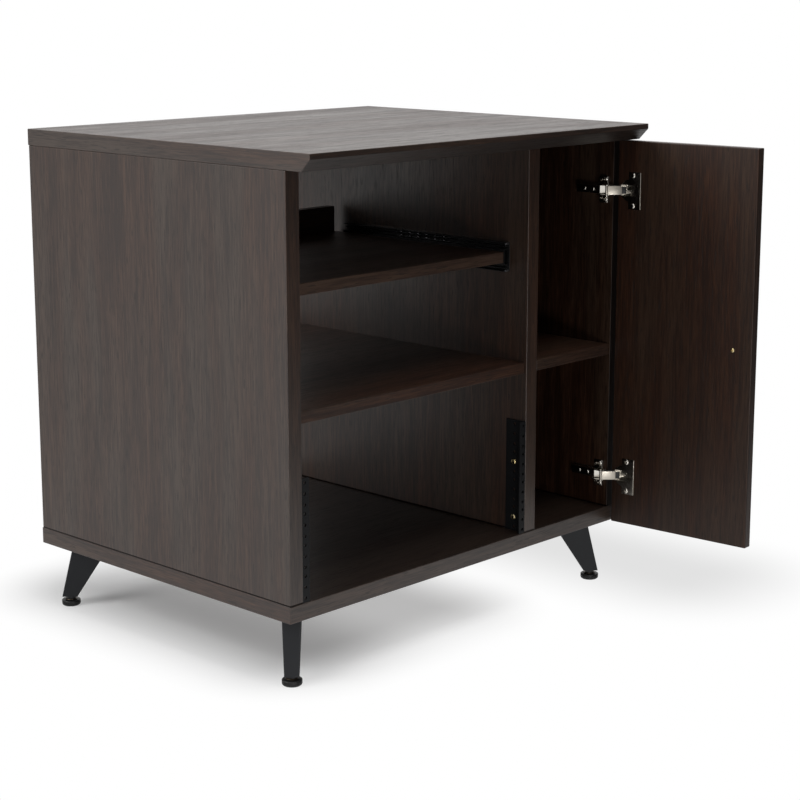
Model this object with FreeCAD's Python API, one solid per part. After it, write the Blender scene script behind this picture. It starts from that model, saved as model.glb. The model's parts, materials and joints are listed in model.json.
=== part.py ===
import FreeCAD
import Part
import math
import os
from FreeCAD import Vector

# The cabinet is built with X from its left outer face, Y from the front of its side panels
# towards the back, and Z from the underside of its bottom panel. The last section moves it
# to its own origin on the floor.

# Boards of the carcass
board = 25.0
left_bay = 475.0
right_bay = 184.0
bay_height = 600.0
side_depth = 568.0
back_overhang = 2.0
top_overhang = 47.0
lip_height = 8.0
board_rounding = 1.2
dowel_radius = 4.0
dowel_length = 34.0
dowel_clearance = 0.05
dowel_inset = 60.0
dowels_per_row = 3

# Shelves and back panel
shelf_thickness = 17.0
shelf_rounding = 0.8
fixed_shelf_height = 270.0
fixed_shelf_setback = 4.5
loose_shelf_height = 271.0
loose_shelf_setback = 1.0
loose_shelf_clearance = 0.75
back_thickness = 16.0
pin_radius = 2.5
pin_depth = 8.0
pin_reach = 7.0
pin_rounding = 0.6
pin_inset = 50.0

# Pull-out shelf with its stop board
runner_space = 12.7
pull_shelf_height = 439.0
pull_shelf_depth = 378.0
pull_shelf_setback = 38.0
stop_height = 41.5
stop_thickness = 16.0
stop_end_inset = 5.0

# Ball runners beside the pull-out shelf
runner_length = 350.0
runner_setback = 37.0
runner_height = 45.0
runner_sheet = 1.0
runner_mouth = 2.6
runner_gap = 0.2
ball_radius = 2.0
ball_clearance = 0.1
cage_sheet = 0.4
cage_length = 110.0
balls_per_row = 6
ball_end_inset = 9.0
middle_length = 346.0
inner_length = 348.0
runner_screw_radius = 2.0
runner_screw_length = 14.0
runner_head_radius = 3.8
runner_head_height = 0.7
runner_screw_inset = 35.0
runner_screw_count = 3

# Rack rails
rack_unit_height = 44.45
rack_units = 4
first_hole_height = 6.35
hole_spacing = 15.875
holes_per_unit = 3
rail_sheet = 2.0
rail_front_width = 13.0
rail_side_depth = 37.1
rail_recess = 0.5
rail_hole_radius = 2.5
rail_hole_inset = 4.95
rail_side_hole_setback = 20.5
rail_side_hole_radius = 2.6
rail_screw_units = (0, 2)
rail_screw_hole = 1
rail_screw_radius = 2.2
rail_screw_length = 18.0
rail_head_radius = 4.6
rail_head_height = 2.6
recess_width = 1.0
recess_depth = 1.3
recess_arm_share = 0.55

# Door
door_width = 248.0
door_thickness = 16.0
door_reveal = 2.0
door_bottom_gap = 0.5
door_top_gap = 2.0
door_gap = 2.6
door_rounding = 1.5
axis_from_edge = 7.7
axis_from_back = 9.4
open_angle = 94.3
knob_from_free_edge = 33.0
knob_radius = 14.0
knob_neck_radius = 7.0
knob_projection = 24.0
knob_neck_length = 9.0
knob_rounding = 2.5
knob_screw_radius = 2.0
knob_screw_grip = 12.0
knob_head_radius = 3.4
knob_head_height = 2.0
screw_clearance = 0.05

# Concealed hinges
lower_hinge_height = 80.0
upper_hinge_from_top = 80.4
cup_from_edge = 22.5
cup_radius = 17.5
cup_depth = 12.3
cup_floor = 1.0
cavity_length = 28.4
cavity_height = 18.0
cavity_rounding = 3.0
cup_lip_height = 2.0
cup_lip_width = 2.5
flange_thickness = 1.2
flange_height = 59.0
flange_near = 20.0
flange_far = 42.0
flange_rounding = 1.0
cup_screw_from_edge = 28.0
cup_screw_spread = 48.0
cup_screw_radius = 1.8
cup_screw_length = 11.0
cup_head_radius = 4.0
cup_head_height = 1.4
link_pivot_inset = 15.0
link_pivot_setback = 2.0
link_length = 30.0
link_rest_angle = -44.9
link_height = 14.0
link_sheet = 3.2
link_eye_radius = 2.4
pin_in_link_radius = 1.5
pin_fit = 0.04
plate_setback = 4.0
plate_depth = 22.0
plate_height = 44.0
plate_spine_depth = 62.0
plate_spine_height = 16.0
plate_thickness = 2.5
plate_rounding = 0.8
plate_screw_setback = 14.0
plate_screw_spread = 32.0
plate_screw_radius = 2.2
plate_screw_length = 14.0
plate_head_radius = 4.2
plate_head_height = 1.8
arm_height = 14.0
arm_depth = 56.0
arm_thickness = 8.0
arm_fork_cheek = 1.6
arm_fork_depth = 8.0
arm_rounding = 1.0
arm_screw_setbacks = (33.0, 50.0)
arm_screw_radius = 2.0
arm_head_radius = 3.2
arm_head_height = 1.2

# Legs and levelling feet
leg_height = 86.5
leg_top_near = 48.6
leg_top_far = 106.5
leg_top_width = 28.2
leg_foot_near = 28.9
leg_foot_far = 52.9
leg_foot_width = 21.8
leg_rounding = 2.0
leg_plate_thickness = 3.0
leg_plate_near = 45.0
leg_plate_far = 140.0
leg_plate_width = 38.0
leg_plate_rounding = 4.0
leg_screw_spread = 20.0
leg_screw_row = 10.0
leg_screw_from_end = 12.0
leg_screw_radius = 2.0
leg_screw_length = 16.0
leg_head_radius = 4.0
leg_head_height = 2.2
pad_inset = 29.4
pad_radius = 14.6
pad_height = 11.8
pad_chamfer = 2.0
neck_radius = 8.6
neck_height = 3.7
foot_gap = 0.3
stem_radius = 4.0
stem_length = 24.0
stem_spare = 3.0
stem_fit = 0.05

# Screws that join the boards
carcass_screw_radius = 2.5
carcass_screw_length = 50.0
carcass_head_radius = 5.0
carcass_head_height = 3.5
head_rounding_share = 1 / 3
stop_screw_radius = 2.0
stop_screw_length = 32.0
stop_head_radius = 4.0
stop_head_height = 2.2
stop_screw_count = 3
stop_screw_inset = 50.0

# One overrun serves every cut, and edges this close to parallel count as parallel
overrun = 5.0
parallel_share = 0.999

# Places that follow from the sizes above
divider_left = board + left_bay
divider_right = divider_left + board
right_side_left = divider_right + right_bay
width = right_side_left + board
bay_top = board + bay_height
height = bay_top + board
back = side_depth + back_overhang
uprights = (0.0, divider_left, right_side_left)
X_AXIS = Vector(1, 0, 0)
Y_AXIS = Vector(0, 1, 0)
Z_AXIS = Vector(0, 0, 1)
nodes = {}


def block(low, high):
    low, high = Vector(*low), Vector(*high)
    size = high - low
    return Part.makeBox(size.x, size.y, size.z, low)


def rod(start, axis, radius, length):
    return Part.makeCylinder(radius, length, Vector(*start), axis)


def drilled(shape, start, axis, radius, depth):
    """A hole from start along axis, begun a little outside the surface."""
    mouth = Vector(*start) - axis * overrun
    return shape.cut(Part.makeCylinder(radius, depth + overrun, mouth, axis))


def rounded(shape, radius):
    return shape.makeFillet(radius, shape.Edges)


def edges_along(shape, axis):
    found = []
    for edge in shape.Edges:
        ends = edge.Vertexes[-1].Point - edge.Vertexes[0].Point
        if ends.Length > 0 and abs(ends.normalize() * axis) > parallel_share:
            found.append(edge)
    return found


def prism(points, direction):
    wire = Part.makePolygon([Vector(*p) for p in points] + [Vector(*points[0])])
    return Part.Face(wire).extrude(direction)


def screw(seat, axis, shank_radius, shank_length, head_radius, head_height):
    """A screw whose head stands on the seat and whose shank runs on along the axis."""
    seat = Vector(*seat)
    top = seat - axis * head_height
    head = Part.makeCylinder(head_radius, head_height, top, axis)
    top_edge = [e for e in head.Edges if (e.CenterOfMass - top).Length < head_height / 2]
    head = head.makeFillet(min(head_height, head_radius) * head_rounding_share, top_edge)
    shank = Part.makeCylinder(shank_radius, shank_length, seat, axis)
    return head.fuse(shank).removeSplitter()


def cross_recess(shape, top, axis, head_radius):
    """A cross recess sunk into a screw head, seen from its top."""
    across = X_AXIS if abs(axis.z) > parallel_share else Z_AXIS
    other = axis.cross(across)
    arm = head_radius * recess_arm_share
    for along, side in ((across, other), (other, across)):
        corner = Vector(*top) - along * arm - side * (recess_width / 2) - axis * overrun
        ends = [corner, corner + along * (2 * arm), corner + along * (2 * arm) + side * recess_width]
        ends.append(corner + side * recess_width)
        shape = shape.cut(prism([tuple(p) for p in ends], axis * (overrun + recess_depth)))
    return shape


def evenly(first, last, count):
    return [first + (last - first) * i / (count - 1) for i in range(count)]


# Top panel with its lip and the bevel under it
def make_top_panel():
    bevel = board - lip_height
    outline = [
        (0, -top_overhang, height),
        (0, -top_overhang, height - lip_height),
        (0, bevel - top_overhang, bay_top),
        (0, back, bay_top),
        (0, back, height),
    ]
    return rounded(prism(outline, Vector(width, 0, 0)), board_rounding)


def make_upright(left):
    return rounded(block((left, 0, board), (left + board, side_depth, bay_top)), board_rounding)


nodes["top_panel"] = make_top_panel()
nodes["bottom_panel"] = rounded(block((0, 0, 0), (width, back, board)), board_rounding)
nodes["left_side_panel"] = make_upright(uprights[0])
nodes["divider_panel"] = make_upright(uprights[1])
nodes["right_side_panel"] = make_upright(uprights[2])
upright_names = ("left_side_panel", "divider_panel", "right_side_panel")

# Shelves and the back panel of the right bay
fixed_top = board + fixed_shelf_height
fixed_low = (board, fixed_shelf_setback, fixed_top - shelf_thickness)
nodes["fixed_shelf"] = rounded(block(fixed_low, (divider_left, side_depth, fixed_top)), shelf_rounding)
back_front = side_depth - back_thickness
loose_top = board + loose_shelf_height
loose_bottom = loose_top - shelf_thickness
loose_back = back_front - loose_shelf_clearance
nodes["loose_shelf"] = rounded(
    block(
        (divider_right + loose_shelf_clearance, loose_shelf_setback, loose_bottom),
        (right_side_left - loose_shelf_clearance, loose_back, loose_top),
    ),
    shelf_rounding,
)
nodes["back_panel"] = block((divider_right, back_front, board), (right_side_left, side_depth, bay_top))

# Dowels between the top panel, the fixed shelf, the back panel and the uprights
dowels = []


def add_dowel(centre, axis, first, second):
    start = Vector(*centre) - axis * (dowel_length / 2)
    dowels.append(Part.makeCylinder(dowel_radius, dowel_length, start, axis))
    hole_start = start - axis * dowel_clearance
    hole_length = dowel_length + 2 * dowel_clearance
    hole = Part.makeCylinder(dowel_radius + dowel_clearance, hole_length, hole_start, axis)
    for name in (first, second):
        nodes[name] = nodes[name].cut(hole)


row = evenly(dowel_inset, side_depth - dowel_inset, dowels_per_row)
for name, left in zip(upright_names, uprights):
    for y in row:
        add_dowel((left + board / 2, y, bay_top), Z_AXIS, "top_panel", name)
for name, wall in (("left_side_panel", board), ("divider_panel", divider_left)):
    for y in (row[0], row[-1]):
        add_dowel((wall, y, fixed_top - shelf_thickness / 2), X_AXIS, "fixed_shelf", name)
for name, wall in (("divider_panel", divider_right), ("right_side_panel", right_side_left)):
    for z in (board + dowel_inset, bay_top - dowel_inset):
        add_dowel((wall, back_front + back_thickness / 2, z), X_AXIS, "back_panel", name)
nodes["panel_dowels"] = Part.makeCompound(dowels)

# Screws up through the bottom panel into the uprights
carcass_screws = []
for name, left in zip(upright_names, uprights):
    for y in row:
        seat = (left + board / 2, y, carcass_head_height)
        body = screw(
            seat,
            Z_AXIS,
            carcass_screw_radius,
            carcass_screw_length,
            carcass_head_radius,
            carcass_head_height,
        )
        top = (seat[0], y, 0)
        carcass_screws.append(cross_recess(body, top, Z_AXIS, carcass_head_radius))
        shank_hole = carcass_screw_radius + screw_clearance
        full_depth = carcass_screw_length + carcass_head_height + screw_clearance
        pocket = carcass_head_radius + screw_clearance
        nodes["bottom_panel"] = drilled(nodes["bottom_panel"], top, Z_AXIS, pocket, carcass_head_height)
        nodes["bottom_panel"] = drilled(nodes["bottom_panel"], top, Z_AXIS, shank_hole, full_depth)
        nodes[name] = drilled(nodes[name], top, Z_AXIS, shank_hole, full_depth)
nodes["carcass_screws"] = Part.makeCompound(carcass_screws)

# Pins that carry the loose shelf
shelf_pins = []
for wall, outward, name in ((divider_right, 1, "divider_panel"), (right_side_left, -1, "right_side_panel")):
    for y in (pin_inset, loose_back - pin_inset):
        centre_z = loose_bottom - pin_radius
        out_of_wall = X_AXIS * outward
        foot_x = wall - outward * pin_depth
        pin = rod((foot_x, y, centre_z), out_of_wall, pin_radius, pin_depth + pin_reach)
        ends = [edge for edge in pin.Edges if edge.isClosed()]
        shelf_pins.append(pin.makeFillet(pin_rounding, ends))
        hole = pin_radius + screw_clearance
        depth = pin_depth + screw_clearance
        nodes[name] = drilled(nodes[name], (wall, y, centre_z), -out_of_wall, hole, depth)
nodes["shelf_pins"] = Part.makeCompound(shelf_pins)

# Pull-out shelf with the stop board along its rear edge
pull_left = board + runner_space
pull_right = divider_left - runner_space
pull_top = board + pull_shelf_height
pull_back = pull_shelf_setback + pull_shelf_depth
pull_low = (pull_left, pull_shelf_setback, pull_top - shelf_thickness)
nodes["pull_out_shelf"] = rounded(block(pull_low, (pull_right, pull_back, pull_top)), shelf_rounding)
stop_low = (pull_left + stop_end_inset, pull_back - stop_thickness, pull_top)
stop_high = (pull_right - stop_end_inset, pull_back, pull_top + stop_height)
nodes["shelf_stop_board"] = rounded(block(stop_low, stop_high), shelf_rounding)
stop_screws = []
for x in evenly(stop_low[0] + stop_screw_inset, stop_high[0] - stop_screw_inset, stop_screw_count):
    face = (x, pull_back - stop_thickness / 2, pull_top - shelf_thickness)
    seat = (face[0], face[1], face[2] + stop_head_height)
    body = screw(seat, Z_AXIS, stop_screw_radius, stop_screw_length, stop_head_radius, stop_head_height)
    stop_screws.append(cross_recess(body, face, Z_AXIS, stop_head_radius))
    shank_hole = stop_screw_radius + screw_clearance
    depth = stop_screw_length + stop_head_height + screw_clearance
    pocket = stop_head_radius + screw_clearance
    shelf = drilled(nodes["pull_out_shelf"], face, Z_AXIS, pocket, stop_head_height)
    nodes["pull_out_shelf"] = drilled(shelf, face, Z_AXIS, shank_hole, depth)
    nodes["shelf_stop_board"] = drilled(nodes["shelf_stop_board"], face, Z_AXIS, shank_hole, depth)
nodes["stop_board_screws"] = Part.makeCompound(stop_screws)

# Ball runners: three channels nested in each other, with two ball cages between them
runner_z = pull_top - shelf_thickness / 2
ball_pitch_gap = 2 * (ball_radius + ball_clearance)
outer_half = runner_height / 2
outer_ball_z = outer_half - runner_sheet - ball_clearance - ball_radius
middle_half = outer_half - runner_sheet - ball_pitch_gap
inner_ball_z = middle_half - runner_sheet - ball_clearance - ball_radius
inner_half = middle_half - runner_sheet - ball_pitch_gap
outer_cage_in = runner_sheet + runner_head_height + runner_gap
middle_in = outer_cage_in + cage_sheet + runner_gap
inner_cage_in = middle_in + runner_sheet + runner_gap
inner_tip_in = inner_cage_in + cage_sheet + runner_gap
channel_out = runner_space - runner_mouth
ball_in = (middle_in + runner_sheet + channel_out) / 2


def runner_box(side, near, far, y_low, y_high, z_low, z_high):
    """A box between two distances from the bay's wall, for the left or the right runner."""
    if side == "left":
        xs = (board + near, board + far)
    else:
        xs = (divider_left - far, divider_left - near)
    return block((xs[0], y_low, z_low), (xs[1], y_high, z_high))


def runner_x(side, distance):
    return board + distance if side == "left" else divider_left - distance


def channel(side, web_near, web_far, tip, half, y_low, y_high):
    """A channel with its web between web_near and web_far and its flanges out to tip."""
    near, far = min(web_near, tip), max(web_far, tip)
    shape = runner_box(side, near, far, y_low, y_high, runner_z - half, runner_z + half)
    if tip > web_far:
        hollow = (web_far, tip + overrun)
    else:
        hollow = (tip - overrun, web_near)
    inside = half - runner_sheet
    cut = runner_box(
        side, hollow[0], hollow[1], y_low - overrun, y_high + overrun, runner_z - inside, runner_z + inside
    )
    return shape.cut(cut)


def ball_rows(side, ball_z, y_low):
    balls = []
    for y in evenly(y_low + ball_end_inset, y_low + cage_length - ball_end_inset, balls_per_row):
        for z in (runner_z - ball_z, runner_z + ball_z):
            balls.append(Part.makeSphere(ball_radius, Vector(runner_x(side, ball_in), y, z)))
    return balls


def ball_cage(side, web_in, ball_z, y_low):
    """A bent strip that keeps its balls apart: a web and two wings with ball pockets."""
    wing_tip = channel_out
    half = ball_z + cage_sheet / 2
    y_high = y_low + cage_length
    outside = runner_box(side, web_in, wing_tip, y_low, y_high, runner_z - half, runner_z + half)
    inside = half - cage_sheet
    hollow = runner_box(
        side,
        web_in + cage_sheet,
        wing_tip + overrun,
        y_low - overrun,
        y_high + overrun,
        runner_z - inside,
        runner_z + inside,
    )
    cage = outside.cut(hollow)
    for y in evenly(y_low + ball_end_inset, y_high - ball_end_inset, balls_per_row):
        for z in (runner_z - ball_z, runner_z + ball_z):
            start = (runner_x(side, ball_in), y, z)
            cage = drilled(cage, start, Z_AXIS, ball_radius + ball_clearance, overrun)
    return cage


def runner_screws(side, seat_in, outward, carrier, member, y_first, y_last):
    """Flat-headed screws through a member's web into the board that carries it."""
    screws = []
    axis = X_AXIS * (outward if side == "left" else -outward)
    for y in evenly(y_first, y_last, runner_screw_count):
        seat = (runner_x(side, seat_in), y, runner_z)
        screws.append(
            screw(
                seat, axis, runner_screw_radius, runner_screw_length, runner_head_radius, runner_head_height
            )
        )
        hole = runner_screw_radius + screw_clearance
        for name in (carrier, member):
            nodes[name] = drilled(nodes[name], seat, axis, hole, runner_screw_length + screw_clearance)
    return screws


runner_front = runner_setback
runner_back = runner_setback + runner_length
cage_low = (runner_front + runner_back - cage_length) / 2
case_screws = []
shelf_screws = []
for side, wall_board in (("left", "left_side_panel"), ("right", "divider_panel")):
    outer, middle, inner = (side + end for end in ("_runner_outer", "_runner_middle", "_runner_inner"))
    nodes[outer] = channel(side, 0, runner_sheet, channel_out, outer_half, runner_front, runner_back)
    nodes[middle] = channel(
        side,
        middle_in,
        middle_in + runner_sheet,
        channel_out,
        middle_half,
        runner_front,
        runner_front + middle_length,
    )
    nodes[inner] = channel(
        side,
        runner_space - runner_sheet,
        runner_space,
        inner_tip_in,
        inner_half,
        runner_front,
        runner_front + inner_length,
    )
    nodes[side + "_outer_ball_cage"] = ball_cage(side, outer_cage_in, outer_ball_z, cage_low)
    nodes[side + "_inner_ball_cage"] = ball_cage(side, inner_cage_in, inner_ball_z, cage_low)
    nodes[side + "_outer_balls"] = Part.makeCompound(ball_rows(side, outer_ball_z, cage_low))
    nodes[side + "_inner_balls"] = Part.makeCompound(ball_rows(side, inner_ball_z, cage_low))
    first, last = runner_front + runner_screw_inset, runner_back - runner_screw_inset
    case_screws += runner_screws(side, runner_sheet, -1, wall_board, outer, first, last)
    inner_seat = runner_space - runner_sheet
    shelf_screws += runner_screws(side, inner_seat, 1, "pull_out_shelf", inner, first, last)
nodes["runner_case_screws"] = Part.makeCompound(case_screws)
nodes["runner_shelf_screws"] = Part.makeCompound(shelf_screws)

# Rack rails: angles with a row of holes in both flanges
rail_height = rack_unit_height * rack_units
hole_heights = [
    unit * rack_unit_height + first_hole_height + hole * hole_spacing
    for unit in range(rack_units)
    for hole in range(holes_per_unit)
]
rail_screws = []


def make_rail(wall, inward, wall_board):
    """A rail on the wall at x = wall, whose front flange points along inward."""
    front = rail_recess
    ends = sorted((wall, wall + inward * rail_front_width))
    flange = block((ends[0], front, board), (ends[1], front + rail_sheet, board + rail_height))
    ends = sorted((wall, wall + inward * rail_sheet))
    side = block((ends[0], front, board), (ends[1], front + rail_side_depth, board + rail_height))
    rail = flange.fuse(side).removeSplitter()
    for hole_height in hole_heights:
        hole_x = wall + inward * rail_hole_inset
        rail = drilled(rail, (hole_x, front, board + hole_height), Y_AXIS, rail_hole_radius, rail_sheet)
        hole_y = front + rail_side_hole_setback
        rail = drilled(
            rail, (wall, hole_y, board + hole_height), X_AXIS * inward, rail_side_hole_radius, rail_sheet
        )
    for unit in rail_screw_units:
        z = board + hole_heights[unit * holes_per_unit + rail_screw_hole]
        seat = (wall + inward * rail_sheet, front + rail_side_hole_setback, z)
        axis = X_AXIS * -inward
        body = screw(seat, axis, rail_screw_radius, rail_screw_length, rail_head_radius, rail_head_height)
        top = Vector(*seat) - axis * rail_head_height
        rail_screws.append(cross_recess(body, tuple(top), axis, rail_head_radius))
        hole = rail_screw_radius + screw_clearance
        depth = rail_screw_length + screw_clearance
        nodes[wall_board] = drilled(nodes[wall_board], seat, axis, hole, depth)
    return rail


nodes["left_rack_rail"] = make_rail(board, 1, "left_side_panel")
nodes["right_rack_rail"] = make_rail(divider_left, -1, "divider_panel")
nodes["rail_screws"] = Part.makeCompound(rail_screws)

# Door, modelled shut and then swung open about its hinge axis
door_edge = width - door_reveal
door_bottom = door_bottom_gap
door_height = bay_top - door_top_gap - door_bottom
door_back = -door_gap
door_front = door_back - door_thickness
hinge_axis = Vector(door_edge - axis_from_edge, door_back - axis_from_back, 0)


def door_x(from_edge):
    return door_edge - from_edge


door_low = (door_x(door_width), door_front, door_bottom)
door = rounded(block(door_low, (door_edge, door_back, door_bottom + door_height)), door_rounding)
knob_x = door_x(door_width - knob_from_free_edge)
knob_z = door_bottom + door_height / 2
cup_screws = []


def make_knob():
    disc_from = door_front - knob_neck_length
    disc = rod((knob_x, disc_from, knob_z), -Y_AXIS, knob_radius, knob_projection - knob_neck_length)
    disc = rounded(disc, knob_rounding)
    neck = rod((knob_x, door_front, knob_z), -Y_AXIS, knob_neck_radius, knob_neck_length + knob_rounding)
    hole = knob_screw_radius + screw_clearance
    knob = disc.fuse(neck).removeSplitter()
    return drilled(knob, (knob_x, door_front, knob_z), -Y_AXIS, hole, knob_screw_grip + screw_clearance)


def make_cup(z):
    """A round cup with an oblong cavity, and a flange with two screw holes on the door's back."""
    centre = (door_x(cup_from_edge), door_back, z)
    body = rod(centre, -Y_AXIS, cup_radius, cup_depth)
    flange = block(
        (door_x(flange_far), door_back, z - flange_height / 2),
        (door_x(flange_near), door_back + flange_thickness, z + flange_height / 2),
    )
    flange = flange.makeFillet(flange_rounding, edges_along(flange, Y_AXIS))
    ring = rod(centre, Y_AXIS, cup_radius, flange_thickness)
    cavity = block(
        (centre[0] - cavity_length / 2, door_back - cup_depth + cup_floor, z - cavity_height / 2),
        (centre[0] + cavity_length / 2, door_back + flange_thickness + overrun, z + cavity_height / 2),
    )
    cavity = cavity.makeFillet(cavity_rounding, edges_along(cavity, Y_AXIS))
    lip_far = cup_from_edge - cavity_length / 2
    lip = block(
        (door_x(lip_far), door_back, z - cavity_height / 2),
        (door_x(lip_far - cup_lip_width), door_back + cup_lip_height, z + cavity_height / 2),
    )
    cup = body.fuse([flange, ring, lip]).removeSplitter().cut(cavity)
    for side in (-1, 1):
        screw_z = z + side * cup_screw_spread / 2
        seat = (door_x(cup_screw_from_edge), door_back + flange_thickness, screw_z)
        body = screw(seat, -Y_AXIS, cup_screw_radius, cup_screw_length, cup_head_radius, cup_head_height)
        top = Vector(*seat) + Y_AXIS * cup_head_height
        cup_screws.append(cross_recess(body, tuple(top), -Y_AXIS, cup_head_radius))
        hole = cup_screw_radius + screw_clearance
        cup = drilled(cup, seat, -Y_AXIS, hole, flange_thickness + overrun)
    return cup


knob_screw_length = door_thickness + knob_screw_grip
knob_screw_seat = (knob_x, door_back, knob_z)
knob_screw = screw(
    knob_screw_seat, -Y_AXIS, knob_screw_radius, knob_screw_length, knob_head_radius, knob_head_height
)
knob_screw_top = (knob_x, door_back + knob_head_height, knob_z)
knob_screw_hole = knob_screw_radius + screw_clearance
door = drilled(door, knob_screw_seat, -Y_AXIS, knob_screw_hole, door_thickness + overrun)
door_nodes = {
    "door_knob": make_knob(),
    "knob_screw": cross_recess(knob_screw, knob_screw_top, -Y_AXIS, knob_head_radius),
}
hinge_heights = {"lower": lower_hinge_height, "upper": bay_top - upper_hinge_from_top}
for level, z in hinge_heights.items():
    door_nodes[level + "_hinge_cup"] = make_cup(z)
    bore = (door_x(cup_from_edge), door_back, z)
    door = drilled(door, bore, -Y_AXIS, cup_radius + screw_clearance, cup_depth + screw_clearance)
    for side in (-1, 1):
        mouth = (door_x(cup_screw_from_edge), door_back, z + side * cup_screw_spread / 2)
        depth = cup_screw_length - flange_thickness + screw_clearance
        door = drilled(door, mouth, -Y_AXIS, cup_screw_radius + screw_clearance, depth)
door_nodes["hinge_cup_screws"] = Part.makeCompound(cup_screws)
door_nodes["door_panel"] = door
for name, shape in door_nodes.items():
    shape.rotate(hinge_axis, Z_AXIS, open_angle)
    nodes[name] = shape

# Hinge plates, arms and links on the right side panel
link_x = right_side_left - link_pivot_inset
link_y = link_pivot_setback
link_pins = []
plate_screws = []
arm_screws = []


def make_plate(z):
    """A flat cross on the side panel: two wings and a spine that carries the arm."""
    inner = right_side_left - plate_thickness
    wings = block(
        (inner, plate_setback, z - plate_height / 2),
        (right_side_left, plate_setback + plate_depth, z + plate_height / 2),
    )
    spine = block(
        (inner, plate_setback, z - plate_spine_height / 2),
        (right_side_left, plate_setback + plate_spine_depth, z + plate_spine_height / 2),
    )
    plate = wings.fuse(spine).removeSplitter()
    return plate.makeFillet(plate_rounding, edges_along(plate, X_AXIS))


def make_arm(z):
    """A bar on the plate that reaches forward to the link's pin between two fork cheeks."""
    outer_face = right_side_left - plate_thickness
    inner_face = outer_face - arm_thickness
    bar = block(
        (inner_face, link_y + arm_fork_depth, z - arm_height / 2),
        (outer_face, link_y + arm_fork_depth + arm_depth, z + arm_height / 2),
    )
    bar = bar.makeFillet(arm_rounding, edges_along(bar, Y_AXIS))
    fork_half = arm_height / 2 + arm_fork_cheek
    nose = rod((link_x, link_y, z - fork_half), Z_AXIS, link_eye_radius, 2 * fork_half)
    reach = link_y + arm_fork_depth + arm_rounding
    points = [
        (link_x - link_eye_radius, link_y, z - fork_half),
        (link_x + link_eye_radius, link_y, z - fork_half),
        (outer_face - arm_rounding, link_y + arm_fork_depth, z - fork_half),
        (outer_face - arm_rounding, reach, z - fork_half),
        (inner_face, reach, z - fork_half),
    ]
    cheeks = prism(points, Z_AXIS * (2 * fork_half))
    arm = bar.fuse([nose, cheeks])
    slot_half = link_height / 2 + pin_fit
    slot = rod((link_x, link_y, z - slot_half), Z_AXIS, arm_fork_depth - pin_fit, 2 * slot_half)
    arm = arm.cut(slot).removeSplitter()
    hole = (link_x, link_y, z - fork_half)
    return drilled(arm, hole, Z_AXIS, pin_in_link_radius, 2 * fork_half + overrun)


def make_link(z):
    """A flat bar with a pin eye at the arm and a rounded tip that floats in the cup."""
    low = z - link_height / 2
    eye = rod((link_x, link_y, low), Z_AXIS, link_eye_radius, link_height)
    half = link_sheet / 2
    bar = block((link_x, link_y - half, low), (link_x + link_length, link_y + half, low + link_height))
    tip = rod((link_x + link_length, link_y, low), Z_AXIS, half, link_height)
    link = eye.fuse([bar, tip]).removeSplitter()
    link = drilled(link, (link_x, link_y, low), Z_AXIS, pin_in_link_radius + pin_fit, link_height + overrun)
    link.rotate(Vector(link_x, link_y, 0), Z_AXIS, link_rest_angle)
    return link


for level, z in hinge_heights.items():
    nodes[level + "_hinge_plate"] = make_plate(z)
    nodes[level + "_hinge_arm"] = make_arm(z)
    nodes[level + "_hinge_link"] = make_link(z)
    pin_half = arm_height / 2 + arm_fork_cheek
    link_pins.append(rod((link_x, link_y, z - pin_half), Z_AXIS, pin_in_link_radius, 2 * pin_half))
    plate_face = right_side_left - plate_thickness
    for side in (-1, 1):
        seat = (plate_face, plate_screw_setback, z + side * plate_screw_spread / 2)
        body = screw(
            seat, X_AXIS, plate_screw_radius, plate_screw_length, plate_head_radius, plate_head_height
        )
        top = (plate_face - plate_head_height, seat[1], seat[2])
        plate_screws.append(cross_recess(body, top, X_AXIS, plate_head_radius))
        hole = plate_screw_radius + screw_clearance
        for name in (level + "_hinge_plate", "right_side_panel"):
            nodes[name] = drilled(nodes[name], seat, X_AXIS, hole, plate_screw_length + screw_clearance)
    for setback in arm_screw_setbacks:
        seat = (plate_face - arm_thickness, setback, z)
        length = arm_thickness + plate_thickness
        body = screw(seat, X_AXIS, arm_screw_radius, length, arm_head_radius, arm_head_height)
        top = (seat[0] - arm_head_height, seat[1], seat[2])
        arm_screws.append(cross_recess(body, top, X_AXIS, arm_head_radius))
        hole = arm_screw_radius + screw_clearance
        for name in (level + "_hinge_arm", level + "_hinge_plate"):
            nodes[name] = drilled(nodes[name], seat, X_AXIS, hole, length + overrun)
nodes["hinge_link_pins"] = Part.makeCompound(link_pins)
nodes["hinge_plate_screws"] = Part.makeCompound(plate_screws)
nodes["hinge_arm_screws"] = Part.makeCompound(arm_screws)

# Legs that splay along the diagonals, with screw-in levelling feet
leg_screws = []
corners = {
    "front_left": (0.0, 0.0, 45.0),
    "front_right": (width, 0.0, 135.0),
    "back_right": (width, back, 225.0),
    "back_left": (0.0, back, 315.0),
}
foot_along = pad_inset * math.sqrt(2)


def rounded_section(near, far, across, z, rounding):
    """A rectangle with round corners, long along X, as a wire at height z."""
    half = across / 2
    plate = block((near, -half, z), (far, half, z + overrun))
    plate = plate.makeFillet(rounding, edges_along(plate, Z_AXIS))
    bottom = min(plate.Faces, key=lambda face: face.CenterOfMass.z)
    return bottom.OuterWire


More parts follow.
